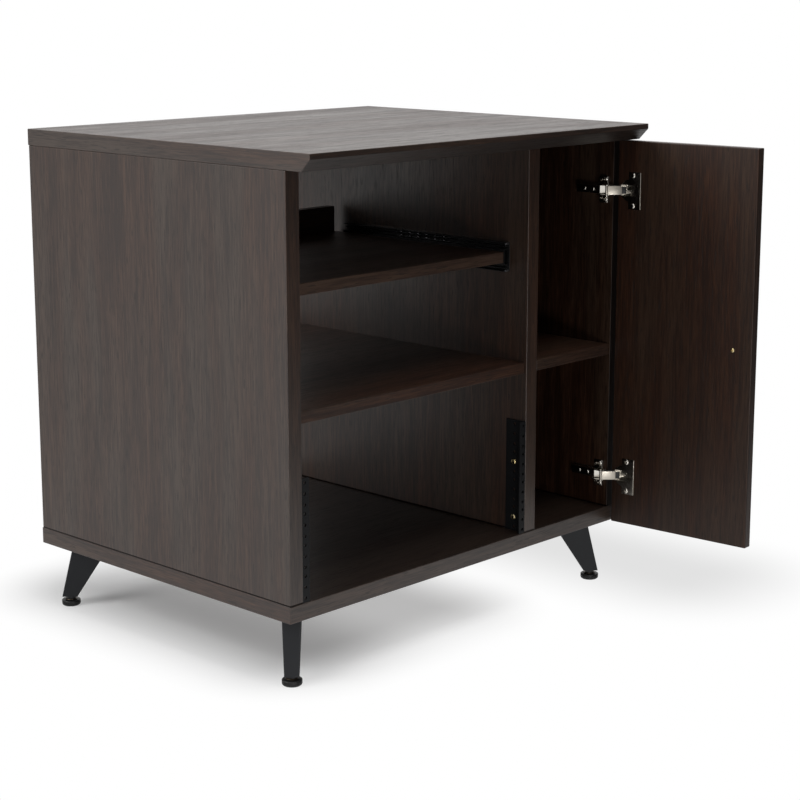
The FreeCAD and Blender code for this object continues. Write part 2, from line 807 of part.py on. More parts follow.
def make_leg():
    """A leg along +X from the corner at the origin; the caller turns it to its diagonal."""
    top_wire = rounded_section(leg_top_near, leg_top_far, leg_top_width, -leg_plate_thickness, leg_rounding)
    end_wire = rounded_section(leg_foot_near, leg_foot_far, leg_foot_width, -leg_height, leg_rounding)
    column = Part.makeLoft([end_wire, top_wire], True, True)
    half = leg_plate_width / 2
    plate = block((leg_plate_near, -half, -leg_plate_thickness), (leg_plate_far, half, 0))
    plate = plate.makeFillet(leg_plate_rounding, edges_along(plate, Z_AXIS))
    leg = column.fuse(plate).removeSplitter()
    start = (foot_along, 0, -leg_height)
    return drilled(leg, start, Z_AXIS, stem_radius + stem_fit, stem_length + stem_spare)


def make_foot():
    """A round pad with a neck and a stem, on the same diagonal as the leg."""
    neck_top = -leg_height - foot_gap
    pad_top = neck_top - neck_height
    pad = rod((foot_along, 0, pad_top - pad_height), Z_AXIS, pad_radius, pad_height)
    rims = [edge for edge in pad.Edges if edge.Curve.TypeId == "Part::GeomCircle"]
    upper = [edge for edge in rims if abs(edge.CenterOfMass.z - pad_top) < pad_height / 2]
    pad = pad.makeChamfer(pad_chamfer, upper)
    neck = rod((foot_along, 0, pad_top), Z_AXIS, neck_radius, neck_height)
    stem = rod((foot_along, 0, neck_top), Z_AXIS, stem_radius, stem_length + foot_gap)
    return pad.fuse([neck, stem]).removeSplitter()


def leg_screw_places():
    inner = leg_plate_far - leg_screw_from_end
    return [(inner, leg_screw_row), (inner, -leg_screw_row), (inner - leg_screw_spread / 2, 0)]


for corner, (corner_x, corner_y, turn) in corners.items():
    leg = make_leg()
    for along, across in leg_screw_places():
        seat = (along, across, -leg_plate_thickness)
        body = screw(seat, Z_AXIS, leg_screw_radius, leg_screw_length, leg_head_radius, leg_head_height)
        top = (along, across, -leg_plate_thickness - leg_head_height)
        body = cross_recess(body, top, Z_AXIS, leg_head_radius)
        hole_radius = leg_screw_radius + screw_clearance
        leg = drilled(leg, seat, Z_AXIS, hole_radius, leg_plate_thickness + overrun)
        pilot = rod(seat, Z_AXIS, hole_radius, leg_screw_length + screw_clearance)
        for shape in (body, pilot):
            shape.rotate(Vector(0, 0, 0), Z_AXIS, turn)
            shape.translate(Vector(corner_x, corner_y, 0))
        nodes["bottom_panel"] = nodes["bottom_panel"].cut(pilot)
        leg_screws.append(body)
    foot = make_foot()
    for name, shape in ((corner + "_leg", leg), (corner + "_foot", foot)):
        shape.rotate(Vector(0, 0, 0), Z_AXIS, turn)
        shape.translate(Vector(corner_x, corner_y, 0))
        nodes[name] = shape
nodes["leg_screws"] = Part.makeCompound(leg_screws)

# The origin is on the floor, under the middle of the box around the cabinet with its door open
opened = math.radians(open_angle)
along_door = Vector(-math.cos(opened), -math.sin(opened), 0)
out_of_door = Vector(math.sin(opened), -math.cos(opened), 0)
open_edge = hinge_axis - along_door * axis_from_edge - out_of_door * axis_from_back
round_centre = along_door * (door_width - door_rounding) + out_of_door * door_rounding
box_front = (open_edge + round_centre).y - door_rounding
knob_rim = door_thickness + knob_projection - knob_rounding
knob_edge = door_width - knob_from_free_edge + knob_radius - knob_rounding
box_right = (open_edge + along_door * knob_edge + out_of_door * knob_rim).x + knob_rounding
floor = -leg_height - foot_gap - neck_height - pad_height
origin = Vector(box_right / 2, (box_front + back) / 2, floor)

os.makedirs("parts", exist_ok=True)
for name, shape in nodes.items():
    placed = shape.copy()
    placed.translate(-origin)
    placed.exportStep("parts/" + name + ".step")
print("origin", origin.x, origin.y, origin.z, "nodes", len(nodes))
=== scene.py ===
import json
import math
import bmesh
import bpy
from mathutils import Matrix, Vector


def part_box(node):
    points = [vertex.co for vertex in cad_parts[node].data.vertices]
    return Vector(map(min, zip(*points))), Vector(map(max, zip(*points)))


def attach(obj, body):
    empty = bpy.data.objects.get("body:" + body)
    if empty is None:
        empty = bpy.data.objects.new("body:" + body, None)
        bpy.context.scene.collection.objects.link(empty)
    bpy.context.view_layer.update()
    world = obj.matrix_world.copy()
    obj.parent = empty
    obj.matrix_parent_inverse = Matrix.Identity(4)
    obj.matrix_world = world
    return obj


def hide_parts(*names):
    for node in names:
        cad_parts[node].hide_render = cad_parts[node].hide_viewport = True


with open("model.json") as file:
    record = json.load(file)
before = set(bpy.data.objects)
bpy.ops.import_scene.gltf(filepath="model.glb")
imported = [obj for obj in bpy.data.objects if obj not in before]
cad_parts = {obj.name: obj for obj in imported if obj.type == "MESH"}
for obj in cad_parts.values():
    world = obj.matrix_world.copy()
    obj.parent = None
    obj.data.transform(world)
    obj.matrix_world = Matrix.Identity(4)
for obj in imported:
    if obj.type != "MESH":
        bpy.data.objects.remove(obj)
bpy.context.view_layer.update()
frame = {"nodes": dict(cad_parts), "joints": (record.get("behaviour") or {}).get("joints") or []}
nodes = frame["nodes"]
joints = {joint["name"]: joint for joint in frame["joints"]}

# Lengths are in metres, and one millimetre is this
MM = 0.001

# The camera stands where the photograph was taken from
CAMERA_PLACE = (-2.0891, -1.9899, 0.9726)
CAMERA_YAW = 46.39
CAMERA_DIP = 11.29
CAMERA_LENS = 85.65
CAMERA_SHIFT = -0.05
CAMERA_REACH = 100.0

# Facets of rounded corners, of rounded edges and of a whole turn
CORNER_STEPS = 5
ROUNDING_STEPS = 3
TURN_STEPS = 48
# Edges sharper than the first angle are rounded, and those sharper than the second are drawn sharp
ROUNDED_ANGLE = math.radians(50)
SHARP_ANGLE = math.radians(38)
# Points nearer than this are one point, and lengths below the next are nothing
MERGE_DISTANCE = 0.001 * MM
NO_LENGTH = 0.01 * MM
SORT_DIGITS = 5


# Modelling helpers


def box_round(points):
    """Lowest and highest corner of the box round these points."""
    low = Vector([min(point[i] for point in points) for i in range(3)])
    high = Vector([max(point[i] for point in points) for i in range(3)])
    return low, high


def round_edges(shape, edges, offset, segments):
    bmesh.ops.bevel(
        shape,
        geom=edges,
        offset=offset,
        offset_type="OFFSET",
        segments=segments,
        profile=0.5,
        affect="EDGES",
        material=-1,
        clamp_overlap=True,
    )


def new_box(one, other, corner=0.0, along="Z", rounding=0.0):
    """A box between two opposite corner points.

    Its edges along one axis are rounded by corner, and all its sharp edges then by rounding.
    """
    low, high = box_round((one, other))
    shape = bmesh.new()
    bmesh.ops.create_cube(shape, size=1.0)
    bmesh.ops.scale(shape, vec=high - low, verts=shape.verts)
    bmesh.ops.translate(shape, vec=(low + high) / 2, verts=shape.verts)
    if corner:
        index = "XYZ".index(along)
        edges = [e for e in shape.edges if abs((e.verts[0].co - e.verts[1].co)[index]) > NO_LENGTH]
        round_edges(shape, edges, corner, CORNER_STEPS)
    if rounding:
        edges = [e for e in shape.edges if e.calc_face_angle(0.0) > ROUNDED_ANGLE]
        round_edges(shape, edges, rounding, ROUNDING_STEPS)
    return shape


def turned(profile, steps=TURN_STEPS):
    """The shape that points of radius and height draw as they turn about Z.

    It is closed where the points start and end on the axis or come back to the first one. Where
    they end off the axis, it is open at that end.
    """
    shape = bmesh.new()
    points = [shape.verts.new((radius, 0.0, height)) for radius, height in profile]
    edges = [shape.edges.new(pair) for pair in zip(points, points[1:])]
    bmesh.ops.spin(
        shape,
        geom=points + edges,
        cent=(0, 0, 0),
        axis=(0, 0, 1),
        angle=2 * math.pi,
        steps=steps,
        use_merge=True,
    )
    bmesh.ops.remove_doubles(shape, verts=shape.verts, dist=MERGE_DISTANCE)
    bmesh.ops.recalc_face_normals(shape, faces=shape.faces)
    return shape


def scaled(points):
    """A profile given in millimetres, in metres."""
    return [(radius * MM, height * MM) for radius, height in points]


def both_ends(points):
    """A whole profile from its lower half: the upper half mirrors it."""
    return points + [(radius, -height) for radius, height in reversed(points)]


def standing(direction):
    """The turn that points a shape's Z in this direction."""
    return Vector(direction).to_track_quat("Z", "X").to_matrix().to_4x4()


def moved(shape, *turns):
    for turn in turns:
        bmesh.ops.transform(shape, matrix=turn, verts=shape.verts)
    return shape


def joined(*shapes):
    whole = bmesh.new()
    for shape in shapes:
        part = bpy.data.meshes.new("part")
        shape.to_mesh(part)
        shape.free()
        whole.from_mesh(part)
        bpy.data.meshes.remove(part)
    return whole


def make_piece(name, shape, material, body, slot, *replaced):
    """Makes a finished shape a piece that rides on a body and stands for the replaced nodes."""
    mesh = bpy.data.meshes.new(name)
    shape.to_mesh(mesh)
    shape.free()
    mesh.shade_smooth()
    mesh.set_sharp_from_angle(angle=SHARP_ANGLE)
    mesh.materials.append(material)
    made = bpy.data.objects.new(name, mesh)
    bpy.context.scene.collection.objects.link(made)
    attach(made, body)
    if replaced:
        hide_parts(*replaced)


def island_boxes(name, back=Matrix()):
    """The box of each separate solid in a node, lowest and highest corner, after the turn back."""
    shape = bmesh.new()
    shape.from_mesh(nodes[name].data)
    bmesh.ops.remove_doubles(shape, verts=shape.verts, dist=MERGE_DISTANCE)
    left = set(shape.verts)
    boxes = []
    while left:
        reached = [left.pop()]
        for vertex in reached:
            for edge in vertex.link_edges:
                other = edge.other_vert(vertex)
                if other in left:
                    left.remove(other)
                    reached.append(other)
        boxes.append(box_round([back @ vertex.co for vertex in reached]))
    shape.free()
    return sorted(boxes, key=lambda box: tuple(round(v, SORT_DIGITS) for v in box[0]))


# The door is shown open; this turns places on the shut door to the open one
door_joint = joints["door_swing"]
hinge_point = Vector(door_joint["pos_m"])
open_angle = math.radians(-door_joint["range_deg"][0])
door_turn = (
    Matrix.Translation(hinge_point) @ Matrix.Rotation(open_angle, 4, "Z") @ Matrix.Translation(-hinge_point)
)


def shut_box(name):
    """Lowest and highest corner of a node on the door, with the door shut."""
    back = door_turn.inverted()
    return box_round([back @ vertex.co for vertex in nodes[name].data.vertices])


# Shader helpers

# The Mix node's two inputs and its output, for each kind of value that it mixes
MIX_SOCKETS = {"RGBA": (6, 7, 2), "VECTOR": (4, 5, 1)}


def add(tree, kind, inputs=None, **settings):
    """A shader node with its settings, and its inputs given as values or as sockets to link."""
    made = tree.nodes.new(kind)
    for name, value in settings.items():
        setattr(made, name, value)
    for key, value in (inputs or {}).items():
        if isinstance(value, bpy.types.NodeSocket):
            tree.links.new(value, made.inputs[key])
        else:
            made.inputs[key].default_value = value
    return made


def math_node(tree, operation, first, second=0.0, third=0.0):
    return add(tree, "ShaderNodeMath", {0: first, 1: second, 2: third}, operation=operation).outputs[0]


def vector_math(tree, operation, first, second=(0.0, 0.0, 0.0), output="Vector"):
    made = add(tree, "ShaderNodeVectorMath", {0: first, 1: second}, operation=operation)
    return made.outputs[output]


def part_along(tree, vector, axis):
    return add(tree, "ShaderNodeSeparateXYZ", {0: vector}).outputs[axis]


def smooth_step(tree, value, low, high):
    made = add(
        tree,
        "ShaderNodeMapRange",
        {"Value": value, "From Min": low, "From Max": high},
        interpolation_type="SMOOTHSTEP",
    )
    return made.outputs["Result"]


def mixed(tree, factor, first, second, kind="RGBA", **settings):
    """Goes from the first colour or vector to the second as the factor goes from 0 to 1."""
    first_input, second_input, output = MIX_SOCKETS[kind]
    values = {0: factor, first_input: first, second_input: second}
    return add(tree, "ShaderNodeMix", values, data_type=kind, **settings).outputs[output]


def ramp(tree, factor, stops):
    made = add(tree, "ShaderNodeValToRGB", {"Fac": factor})
    colours = made.color_ramp
    while len(colours.elements) < len(stops):
        colours.elements.new(0.5)
    for element, (place, colour) in zip(colours.elements, stops):
        element.position = place
        element.color = (*colour, 1.0)
    return made.outputs["Color"]


def new_group(name, inputs, outputs):
    """A shader group; returns its tree, its start node and its end node. All its outputs are numbers."""
    tree = bpy.data.node_groups.new(name, "ShaderNodeTree")
    for socket_name, kind, value in inputs:
        socket = tree.interface.new_socket(socket_name, in_out="INPUT", socket_type=kind)
        if value is not None:
            socket.default_value = value
    for socket_name in outputs:
        tree.interface.new_socket(socket_name, in_out="OUTPUT", socket_type="NodeSocketFloat")
    return tree, tree.nodes.new("NodeGroupInput"), tree.nodes.new("NodeGroupOutput")


def stretched_noise(tree, vector, along, across, detail, roughness=0.5):
    """Noise that runs along X: its frequencies are per metre along and across the grain."""
    noise = add(
        tree,
        "ShaderNodeTexNoise",
        {
            "Vector": vector_math(tree, "MULTIPLY", vector, (along, across, across)),
            "Scale": 1.0,
            "Detail": detail,
            "Roughness": roughness,
        },
    )
    return noise.outputs["Fac"]


# Layers of the grain: waves per metre along and across it, detail, roughness and share of the tone
GRAIN_LAYERS = {
    "fine": (30.0, 620.0, 2.0, 0.6, 0.3),
    "thread": (11.0, 240.0, 2.0, 0.6, 0.28),
    "middle": (3.5, 60.0, 2.0, 0.5, 0.17),
    "wide": (1.6, 15.0, 2.0, 0.5, 0.25),
}
TONE_RANGE = (0.38, 0.62)
# A slow wave bends the grain sideways
BEND_WAVES = (2.2, 7.0, 1.0)
BEND_REACH = 4 * MM
PORE_WAVES = (42.0, 540.0, 1.0)
PORE_RANGE = (0.6, 0.7)
PORE_DEPTH = 0.6
# Soft patches and fine speckle: waves per metre and detail
PATCHES = (14.0, 3.0)
SPECKLE = (1800.0, 2.0)
MOTTLE_RANGE = (0.3, 0.7)
# How far a face has to look towards the side that gets painted shade
SHADE_FACING_RANGE = (0.75, 0.9)
# The dark line of painted shade in the joint gap: its height, and where it has faded, as a multiple of that
SEAM_HEIGHT = 1.4 * MM
SEAM_FADED = 1.8


def make_grain_group():
    """Straight wood grain along X: tone of the streaks, wide warm bands, and short dark pores."""
    tree, start, end = new_group(
        "straight_grain", [("Vector", "NodeSocketVector", None)], ["Tone", "Band", "Pores", "Height"]
    )
    place = start.outputs["Vector"]
    bend = math_node(tree, "SUBTRACT", stretched_noise(tree, place, *BEND_WAVES), 0.5)
    bend = math_node(tree, "MULTIPLY", bend, BEND_REACH)
    shift = add(tree, "ShaderNodeCombineXYZ", {"Y": bend, "Z": bend}).outputs[0]
    bent = vector_math(tree, "ADD", place, shift)
    layers = {}
    tone = 0.0
    for name, (*waves, share) in GRAIN_LAYERS.items():
        layers[name] = stretched_noise(tree, bent, *waves)
        tone = math_node(tree, "MULTIPLY_ADD", layers[name], share, tone)
    pores = smooth_step(tree, stretched_noise(tree, bent, *PORE_WAVES), *PORE_RANGE)
    height = math_node(tree, "MULTIPLY", math_node(tree, "ADD", layers["fine"], layers["thread"]), 0.5)
    tree.links.new(smooth_step(tree, tone, *TONE_RANGE), end.inputs["Tone"])
    tree.links.new(smooth_step(tree, layers["wide"], *TONE_RANGE), end.inputs["Band"])
    tree.links.new(pores, end.inputs["Pores"])
    tree.links.new(math_node(tree, "MULTIPLY_ADD", pores, -PORE_DEPTH, height), end.inputs["Height"])
    return tree


def make_mottle_group():
    """Soft uneven patches and a fine speckle, for paint, plastic and plated metal."""
    kinds = {"Patches": PATCHES, "Speckle": SPECKLE}
    inputs = [(name + " Scale", "NodeSocketFloat", scale) for name, (scale, detail) in kinds.items()]
    tree, start, end = new_group("surface_mottle", inputs, list(kinds))
    place = add(tree, "ShaderNodeTexCoord").outputs["Object"]
    for name, (scale, detail) in kinds.items():
        values = {"Vector": place, "Scale": start.outputs[name + " Scale"], "Detail": detail}
        noise = add(tree, "ShaderNodeTexNoise", values)
        tree.links.new(smooth_step(tree, noise.outputs["Fac"], *MOTTLE_RANGE), end.inputs[name])
    return tree


def make_side_shade_group():
    """Mask of painted shade: the faces that look in one direction, times a share."""
    inputs = [("Direction", "NodeSocketVector", None), ("Share", "NodeSocketFloat", 1.0)]
    tree, start, end = new_group("painted_side_shade", inputs, ["Stain"])
    normal = add(tree, "ShaderNodeTexCoord").outputs["Normal"]
    facing = vector_math(tree, "DOT_PRODUCT", normal, start.outputs["Direction"], "Value")
    side_shade = math_node(tree, "MULTIPLY", smooth_step(tree, facing, *SHADE_FACING_RANGE), start.outputs["Share"])
    tree.links.new(side_shade, end.inputs["Stain"])
    return tree


def make_joint_shade_group():
    """Mask of the painted shade in the joint gap at a board's lower edge, from the height of that edge."""
    tree, start, end = new_group("joint_gap_shade", [("Edge Height", "NodeSocketFloat", 0.0)], ["Line"])
    height = part_along(tree, add(tree, "ShaderNodeTexCoord").outputs["Object"], "Z")
    above = math_node(tree, "SUBTRACT", height, start.outputs["Edge Height"])
    lit = smooth_step(tree, above, SEAM_HEIGHT, SEAM_FADED * SEAM_HEIGHT)
    tree.links.new(math_node(tree, "SUBTRACT", 1.0, lit), end.inputs["Line"])
    return tree


grain_group = make_grain_group()
mottle_group = make_mottle_group()
side_shade_group = make_side_shade_group()
joint_shade_group = make_joint_shade_group()


def new_material(name, **fixed):
    """A material with its Principled shader; fixed values are set on the shader's own sockets."""
    material = bpy.data.materials.new(name)
    material.use_nodes = True
    tree = material.node_tree
    shader = tree.nodes["Principled BSDF"]
    for key, value in fixed.items():
        shader.inputs[key.replace("_", " ")].default_value = value
    return material, tree, shader


def bumped(tree, shader, height, distance):
    bump = add(tree, "ShaderNodeBump", {"Height": height, "Distance": distance, "Strength": 1.0})
    tree.links.new(bump.outputs["Normal"], shader.inputs["Normal"])


# Dark wood laminate. Grain runs along the named axis; each order of the Object coordinates puts it first
GRAIN_ORDERS = {"X": ("X", "Y", "Z"), "Y": ("Y", "X", "Z"), "Z": ("Z", "X", "Y")}
# From one board to the next the pattern moves this far
PATTERN_STEP = (0.37, 1.13, 0.71)
END_FACING = 0.7
LAMINATE_DARK = (0.0165, 0.0088, 0.0058)
LAMINATE_MIDDLE = (0.041, 0.0238, 0.0165)
LAMINATE_LIGHT = (0.072, 0.0455, 0.032)
LAMINATE_WARM = (1.15, 0.96, 0.84)
LAMINATE_COOL = (0.92, 0.98, 1.02)
LAMINATE_PORE = (0.012, 0.007, 0.005, 1.0)
# Near black, for painted shade on faces that the light hardly reaches and in the joint gaps
PAINTED_SHADE_COLOUR = (0.004, 0.002, 0.0015, 1.0)
PORE_SHARE = 0.75
LAMINATE_IOR = 1.57
LAMINATE_ROUGHNESS = 0.405
PORE_ROUGHNESS = 0.1
GRAIN_RELIEF = 0.09 * MM


def reordered(tree, place, order):
    parts = add(tree, "ShaderNodeSeparateXYZ", {0: place})
    picked = {target: parts.outputs[source] for target, source in zip("XYZ", order)}
    return add(tree, "ShaderNodeCombineXYZ", picked).outputs[0]


def place_in_grain(tree, number, along, ends_along):
    """Object coordinates, moved for this board and ordered so that X follows the grain."""
    coordinates = add(tree, "ShaderNodeTexCoord")
    shift = tuple(number * step for step in PATTERN_STEP)
    values = {"Vector": coordinates.outputs["Object"], "Location": shift}
    shifted = add(tree, "ShaderNodeMapping", values).outputs[0]
    place = reordered(tree, shifted, GRAIN_ORDERS[along])
    if not ends_along:
        return place
    sideways = math_node(tree, "ABSOLUTE", part_along(tree, coordinates.outputs["Normal"], "X"))
    at_end = math_node(tree, "GREATER_THAN", sideways, END_FACING)
    return mixed(tree, at_end, place, reordered(tree, shifted, GRAIN_ORDERS[ends_along]), "VECTOR")


def grain_colour(tree, grain, deep):
    """Dark, middle and light streaks, tinted by warm and cool bands, with dark pores."""
    stops = [(0.0, LAMINATE_DARK), (0.5, LAMINATE_MIDDLE), (1.0, LAMINATE_LIGHT)]
    streaks = ramp(tree, grain.outputs["Tone"], stops)
    tints = (LAMINATE_WARM, LAMINATE_COOL)
    warm, cool = [(*[share * level for share, level in zip(deep, tint)], 1.0) for tint in tints]
    tint = mixed(tree, grain.outputs["Band"], warm, cool)
    tinted = mixed(tree, 1.0, streaks, tint, blend_type="MULTIPLY")
    pores = math_node(tree, "MULTIPLY", grain.outputs["Pores"], PORE_SHARE)
    return mixed(tree, pores, tinted, LAMINATE_PORE)


def laminate(
    name, number, along, ends_along=None, seam=None, deep=(1, 1, 1), shine=0.5, dark_side=None, streaks=0.05
):
    """Dark wood laminate. number moves the pattern, so that no two boards share it.

    On the faces at the ends of X the grain runs along ends_along. seam is the height of the board's
    lower edge, where painted shade darkens the joint gap and its gloss. deep scales the colour of the
    whole board, painted light and shade that give boards in brighter or dimmer places lighter or darker
    copies of the one laminate, and shine scales its gloss. Faces that look towards dark_side's
    direction get painted shade by its share. streaks is how much the gloss follows the grain.
    """
    material, tree, shader = new_material(name, IOR=LAMINATE_IOR, Specular_IOR_Level=shine)
    place = place_in_grain(tree, number, along, ends_along)
    grain = add(tree, "ShaderNodeGroup", {"Vector": place}, node_tree=grain_group)
    colour = grain_colour(tree, grain, deep)
    # Painted shade on the faces that look towards dark_side's direction
    if dark_side:
        values = dict(zip(("Direction", "Share"), dark_side))
        side_shade = add(tree, "ShaderNodeGroup", values, node_tree=side_shade_group)
        colour = mixed(tree, side_shade.outputs["Stain"], colour, PAINTED_SHADE_COLOUR)
    # Painted shade in the joint gap: a dark line, made metallic so that its gloss goes dark as well
    if seam is not None:
        line = add(tree, "ShaderNodeGroup", {"Edge Height": seam}, node_tree=joint_shade_group).outputs["Line"]
        colour = mixed(tree, line, colour, PAINTED_SHADE_COLOUR)
        tree.links.new(line, shader.inputs["Metallic"])
    tree.links.new(colour, shader.inputs["Base Color"])
    most = LAMINATE_ROUGHNESS + streaks / 2
    rough = math_node(tree, "MULTIPLY_ADD", grain.outputs["Tone"], -streaks, most)
    rough = math_node(tree, "MULTIPLY_ADD", grain.outputs["Pores"], PORE_ROUGHNESS, rough)
    tree.links.new(rough, shader.inputs["Roughness"])
    bumped(tree, shader, grain.outputs["Height"], GRAIN_RELIEF)
    return material


def coated(name, colour, patches, roughness, speckle=0.4, relief=0.02 * MM, **fixed):
    """Paint, plating or moulded plastic: a colour with soft patches and a fine texture.

    roughness is its lowest and highest. speckle is the fine texture's share of the tone.
    """
    material, tree, shader = new_material(name, **fixed)
    low, high = roughness
    mottle = add(tree, "ShaderNodeGroup", node_tree=mottle_group)
    tone = math_node(tree, "MULTIPLY", mottle.outputs["Speckle"], speckle)
    tone = math_node(tree, "MULTIPLY_ADD", mottle.outputs["Patches"], 1.0 - speckle, tone)
    tree.links.new(mixed(tree, tone, (*colour, 1.0), (*patches, 1.0)), shader.inputs["Base Color"])
    tree.links.new(math_node(tree, "MULTIPLY_ADD", tone, high - low, low), shader.inputs["Roughness"])
    bumped(tree, shader, mottle.outputs["Speckle"], relief)
    return material


powder_coat = coated(
    "powder_coat",
    colour=(0.0125, 0.0135, 0.0158),
    patches=(0.0175, 0.0188, 0.0215),
    roughness=(0.4, 0.52),
    Specular_IOR_Level=0.27,
)
rail_coat = coated(
    "rail_powder_coat",
    colour=(0.0075, 0.0078, 0.0088),
    patches=(0.011, 0.0115, 0.0128),
    roughness=(0.42, 0.55),
    Specular_IOR_Level=0.14,
)
black_plating = coated(
    "black_plating",
    colour=(0.012, 0.012, 0.013),
    patches=(0.022, 0.022, 0.024),
    roughness=(0.24, 0.4),
    Metallic=0.3,
)
foot_plastic = coated(
    "foot_plastic",
    colour=(0.01, 0.0101, 0.0104),
    patches=(0.016, 0.0162, 0.0168),
    roughness=(0.36, 0.5),
    relief=0.04 * MM,
    Specular_IOR_Level=0.35,
)
nickel = coated(
    "bright_nickel",
    colour=(0.66, 0.63, 0.58),
    patches=(0.56, 0.53, 0.48),
    roughness=(0.16, 0.3),
    speckle=0.2,
    Metallic=1.0,
)
zinc = coated(
    "bright_zinc",
    colour=(0.6, 0.61, 0.62),
    patches=(0.48, 0.5, 0.52),
    roughness=(0.22, 0.38),
    speckle=0.3,
    Metallic=1.0,
)
yellow_zinc = coated(
    "yellow_zinc",
    colour=(0.78, 0.6, 0.26),
    patches=(0.66, 0.56, 0.34),
    roughness=(0.2, 0.34),
    speckle=0.2,
    Metallic=1.0,
)
dark_steel = coated(
    "dark_steel",
    colour=(0.2, 0.2, 0.21),
    patches=(0.13, 0.13, 0.14),
    roughness=(0.28, 0.45),
    speckle=0.3,
    Metallic=0.9,
)
bronze = coated(
    "dark_bronze",
    colour=(0.1, 0.075, 0.05),
    patches=(0.06, 0.045, 0.032),
    roughness=(0.3, 0.5),
    speckle=0.3,
    Metallic=0.8,
)
link_steel = coated(
    "link_steel",
    colour=(0.44, 0.405, 0.35),
    patches=(0.36, 0.33, 0.285),
    roughness=(0.3, 0.44),
    Metallic=1.0,
)
ball_steel = coated(
    "ball_steel",
    colour=(0.3, 0.3, 0.31),
    patches=(0.22, 0.22, 0.23),
    roughness=(0.16, 0.26),
    Metallic=1.0,
)
brushed_nickel = coated(
    "brushed_nickel",
    colour=(0.56, 0.54, 0.5),
    patches=(0.46, 0.44, 0.41),
    roughness=(0.26, 0.4),
    speckle=0.3,
    Metallic=1.0,
)
beech = coated("beech_dowel", colour=(0.62, 0.44, 0.27), patches=(0.5, 0.34, 0.2), roughness=(0.5, 0.65))

# Sides that get painted shade where the light hardly reaches, and by how much: the slope under the
# top's front lip, the bay floor, and the front edge beside the door
UNDER_LIP = ((0.0, -0.7, -0.71), 0.6)
BAY_FLOOR = ((0.0, 0.0, 1.0), 0.5)
BESIDE_DOOR = ((-0.38, -0.92, 0.0), 0.92)
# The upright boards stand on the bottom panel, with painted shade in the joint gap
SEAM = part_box("bottom_panel")[1].z
# Which way each board's grain runs, and what else sets it apart from the plain laminate. deep is
# painted light and shade: boards in brighter or dimmer places are lighter or darker, warmer or cooler
# copies of the one laminate
BOARDS = {
    "top_panel": dict(along="X", ends_along="Y", dark_side=UNDER_LIP, streaks=0.15),
    "bottom_panel": dict(along="X", ends_along="Y", deep=(1.06, 1.02, 0.98), dark_side=BAY_FLOOR),
    "left_side_panel": dict(along="Z", seam=SEAM),
    "divider_panel": dict(along="Z", seam=SEAM, deep=(1.06, 0.94, 0.86)),
    "right_side_panel": dict(
        along="Z", seam=SEAM, deep=(0.95, 0.84, 0.76), shine=0.14, dark_side=BESIDE_DOOR
    ),
    "fixed_shelf": dict(along="X", deep=(1.16, 1.0, 0.9), shine=0.36),
    "loose_shelf": dict(along="X", deep=(1.16, 1.0, 0.9), shine=0.36),
    "back_panel": dict(along="Z"),
    "pull_out_shelf": dict(along="X", deep=(1.6, 1.38, 1.24), shine=0.4),
    "shelf_stop_board": dict(along="X", deep=(0.85, 0.75, 0.7), shine=0.4),
    "door_panel": dict(along="Z", deep=(0.86, 0.7, 0.6), shine=0.25),
}


def dress(name, material):
    """Gives a CAD node this material in its material slot."""
    slots = nodes[name].data.materials
    if not slots:
        slots.append(material)
    for index in range(len(slots)):
        slots[index] = material


def fitting_finish(name):
    """The finish of a node that isn't a board."""
    if name.endswith("_leg"):
        return powder_coat
    if name.endswith("_rail"):
        return rail_coat
    if name.endswith("_foot"):
        return foot_plastic
    if "_runner_" in name:
        return black_plating
    if name.endswith("_ball_cage"):
        return dark_steel
    if name.endswith("_balls"):
        return ball_steel
    if "hinge" in name or name == "door_knob":
        return nickel
    if name in ("rail_screws", "knob_screw"):
        return yellow_zinc
    if name == "panel_dowels":
        return beech
    return zinc


for number, (name, finish) in enumerate(BOARDS.items(), start=1):
    dress(name, laminate(name + "_laminate", number, **finish))
for name in nodes:
    if name not in BOARDS:
        dress(name, fitting_finish(name))


# Levelling feet: radius and height in millimetres, from the floor up
FOOT_BELOW_RIM = [(0, 0), (11.2, 0), (12.8, 0.4), (13.9, 1.3), (14.4, 2.4)]
FOOT_RIM = [(14.6, 2.9), (14.6, 8.1)]
FOOT_ABOVE_RIM = [(14.3, 8.6), (13.6, 9.0), (12.4, 9.1), (11.8, 9.2), (9.4, 9.8), (8.0, 10.2), (7.3, 10.8)]
FOOT_NECK = [(7.3, 14.9), (6.8, 15.4), (4.2, 15.5)]
COLLAR = [(7.2, 9.9), (8.9, 9.9), (9.1, 10.2), (8.9, 10.6), (7.9, 11.0), (7.2, 11.1), (7.2, 9.9)]
FOOT_RIBS = 44
RIB_DEPTH = 0.55
RIB_EDGE = 0.25
STEM_RADIUS = 4.0
STEM_TIP_RADIUS = 3.0
STEM_TOP = 39.8
THREAD_PITCH = 1.25
THREAD_TURNS = 18
# Root, crest and root of one turn of the thread: share of the pitch, and depth below the crest
THREAD_PROFILE = ((0.1, 0.5), (0.5, 0.0), (0.9, 0.5))


def stem_profile():
    """The threaded stem, with a chamfered end."""
    points = []
    for turn in range(THREAD_TURNS):
        start = FOOT_NECK[-1][1] + turn * THREAD_PITCH
        points += [(STEM_RADIUS - depth, start + share * THREAD_PITCH) for share, depth in THREAD_PROFILE]
    return points + [(STEM_TIP_RADIUS, STEM_TOP), (0, STEM_TOP)]


def ribbed_rim(shape):
    """Every second facet of the rim is pressed in, so that the rim has ribs for the fingers."""
    low, high = FOOT_RIM[0][1] * MM, FOOT_RIM[1][1] * MM
    rim = []
    for face in shape.faces:
        heights = [vertex.co.z for vertex in face.verts]
        if min(heights) > low - NO_LENGTH and max(heights) < high + NO_LENGTH:
            rim.append(face)
    rim.sort(key=lambda face: math.atan2(face.calc_center_median().y, face.calc_center_median().x))
    grooves = rim[::2]
    bmesh.ops.inset_individual(shape, faces=grooves, thickness=RIB_EDGE * MM, depth=-RIB_DEPTH * MM)


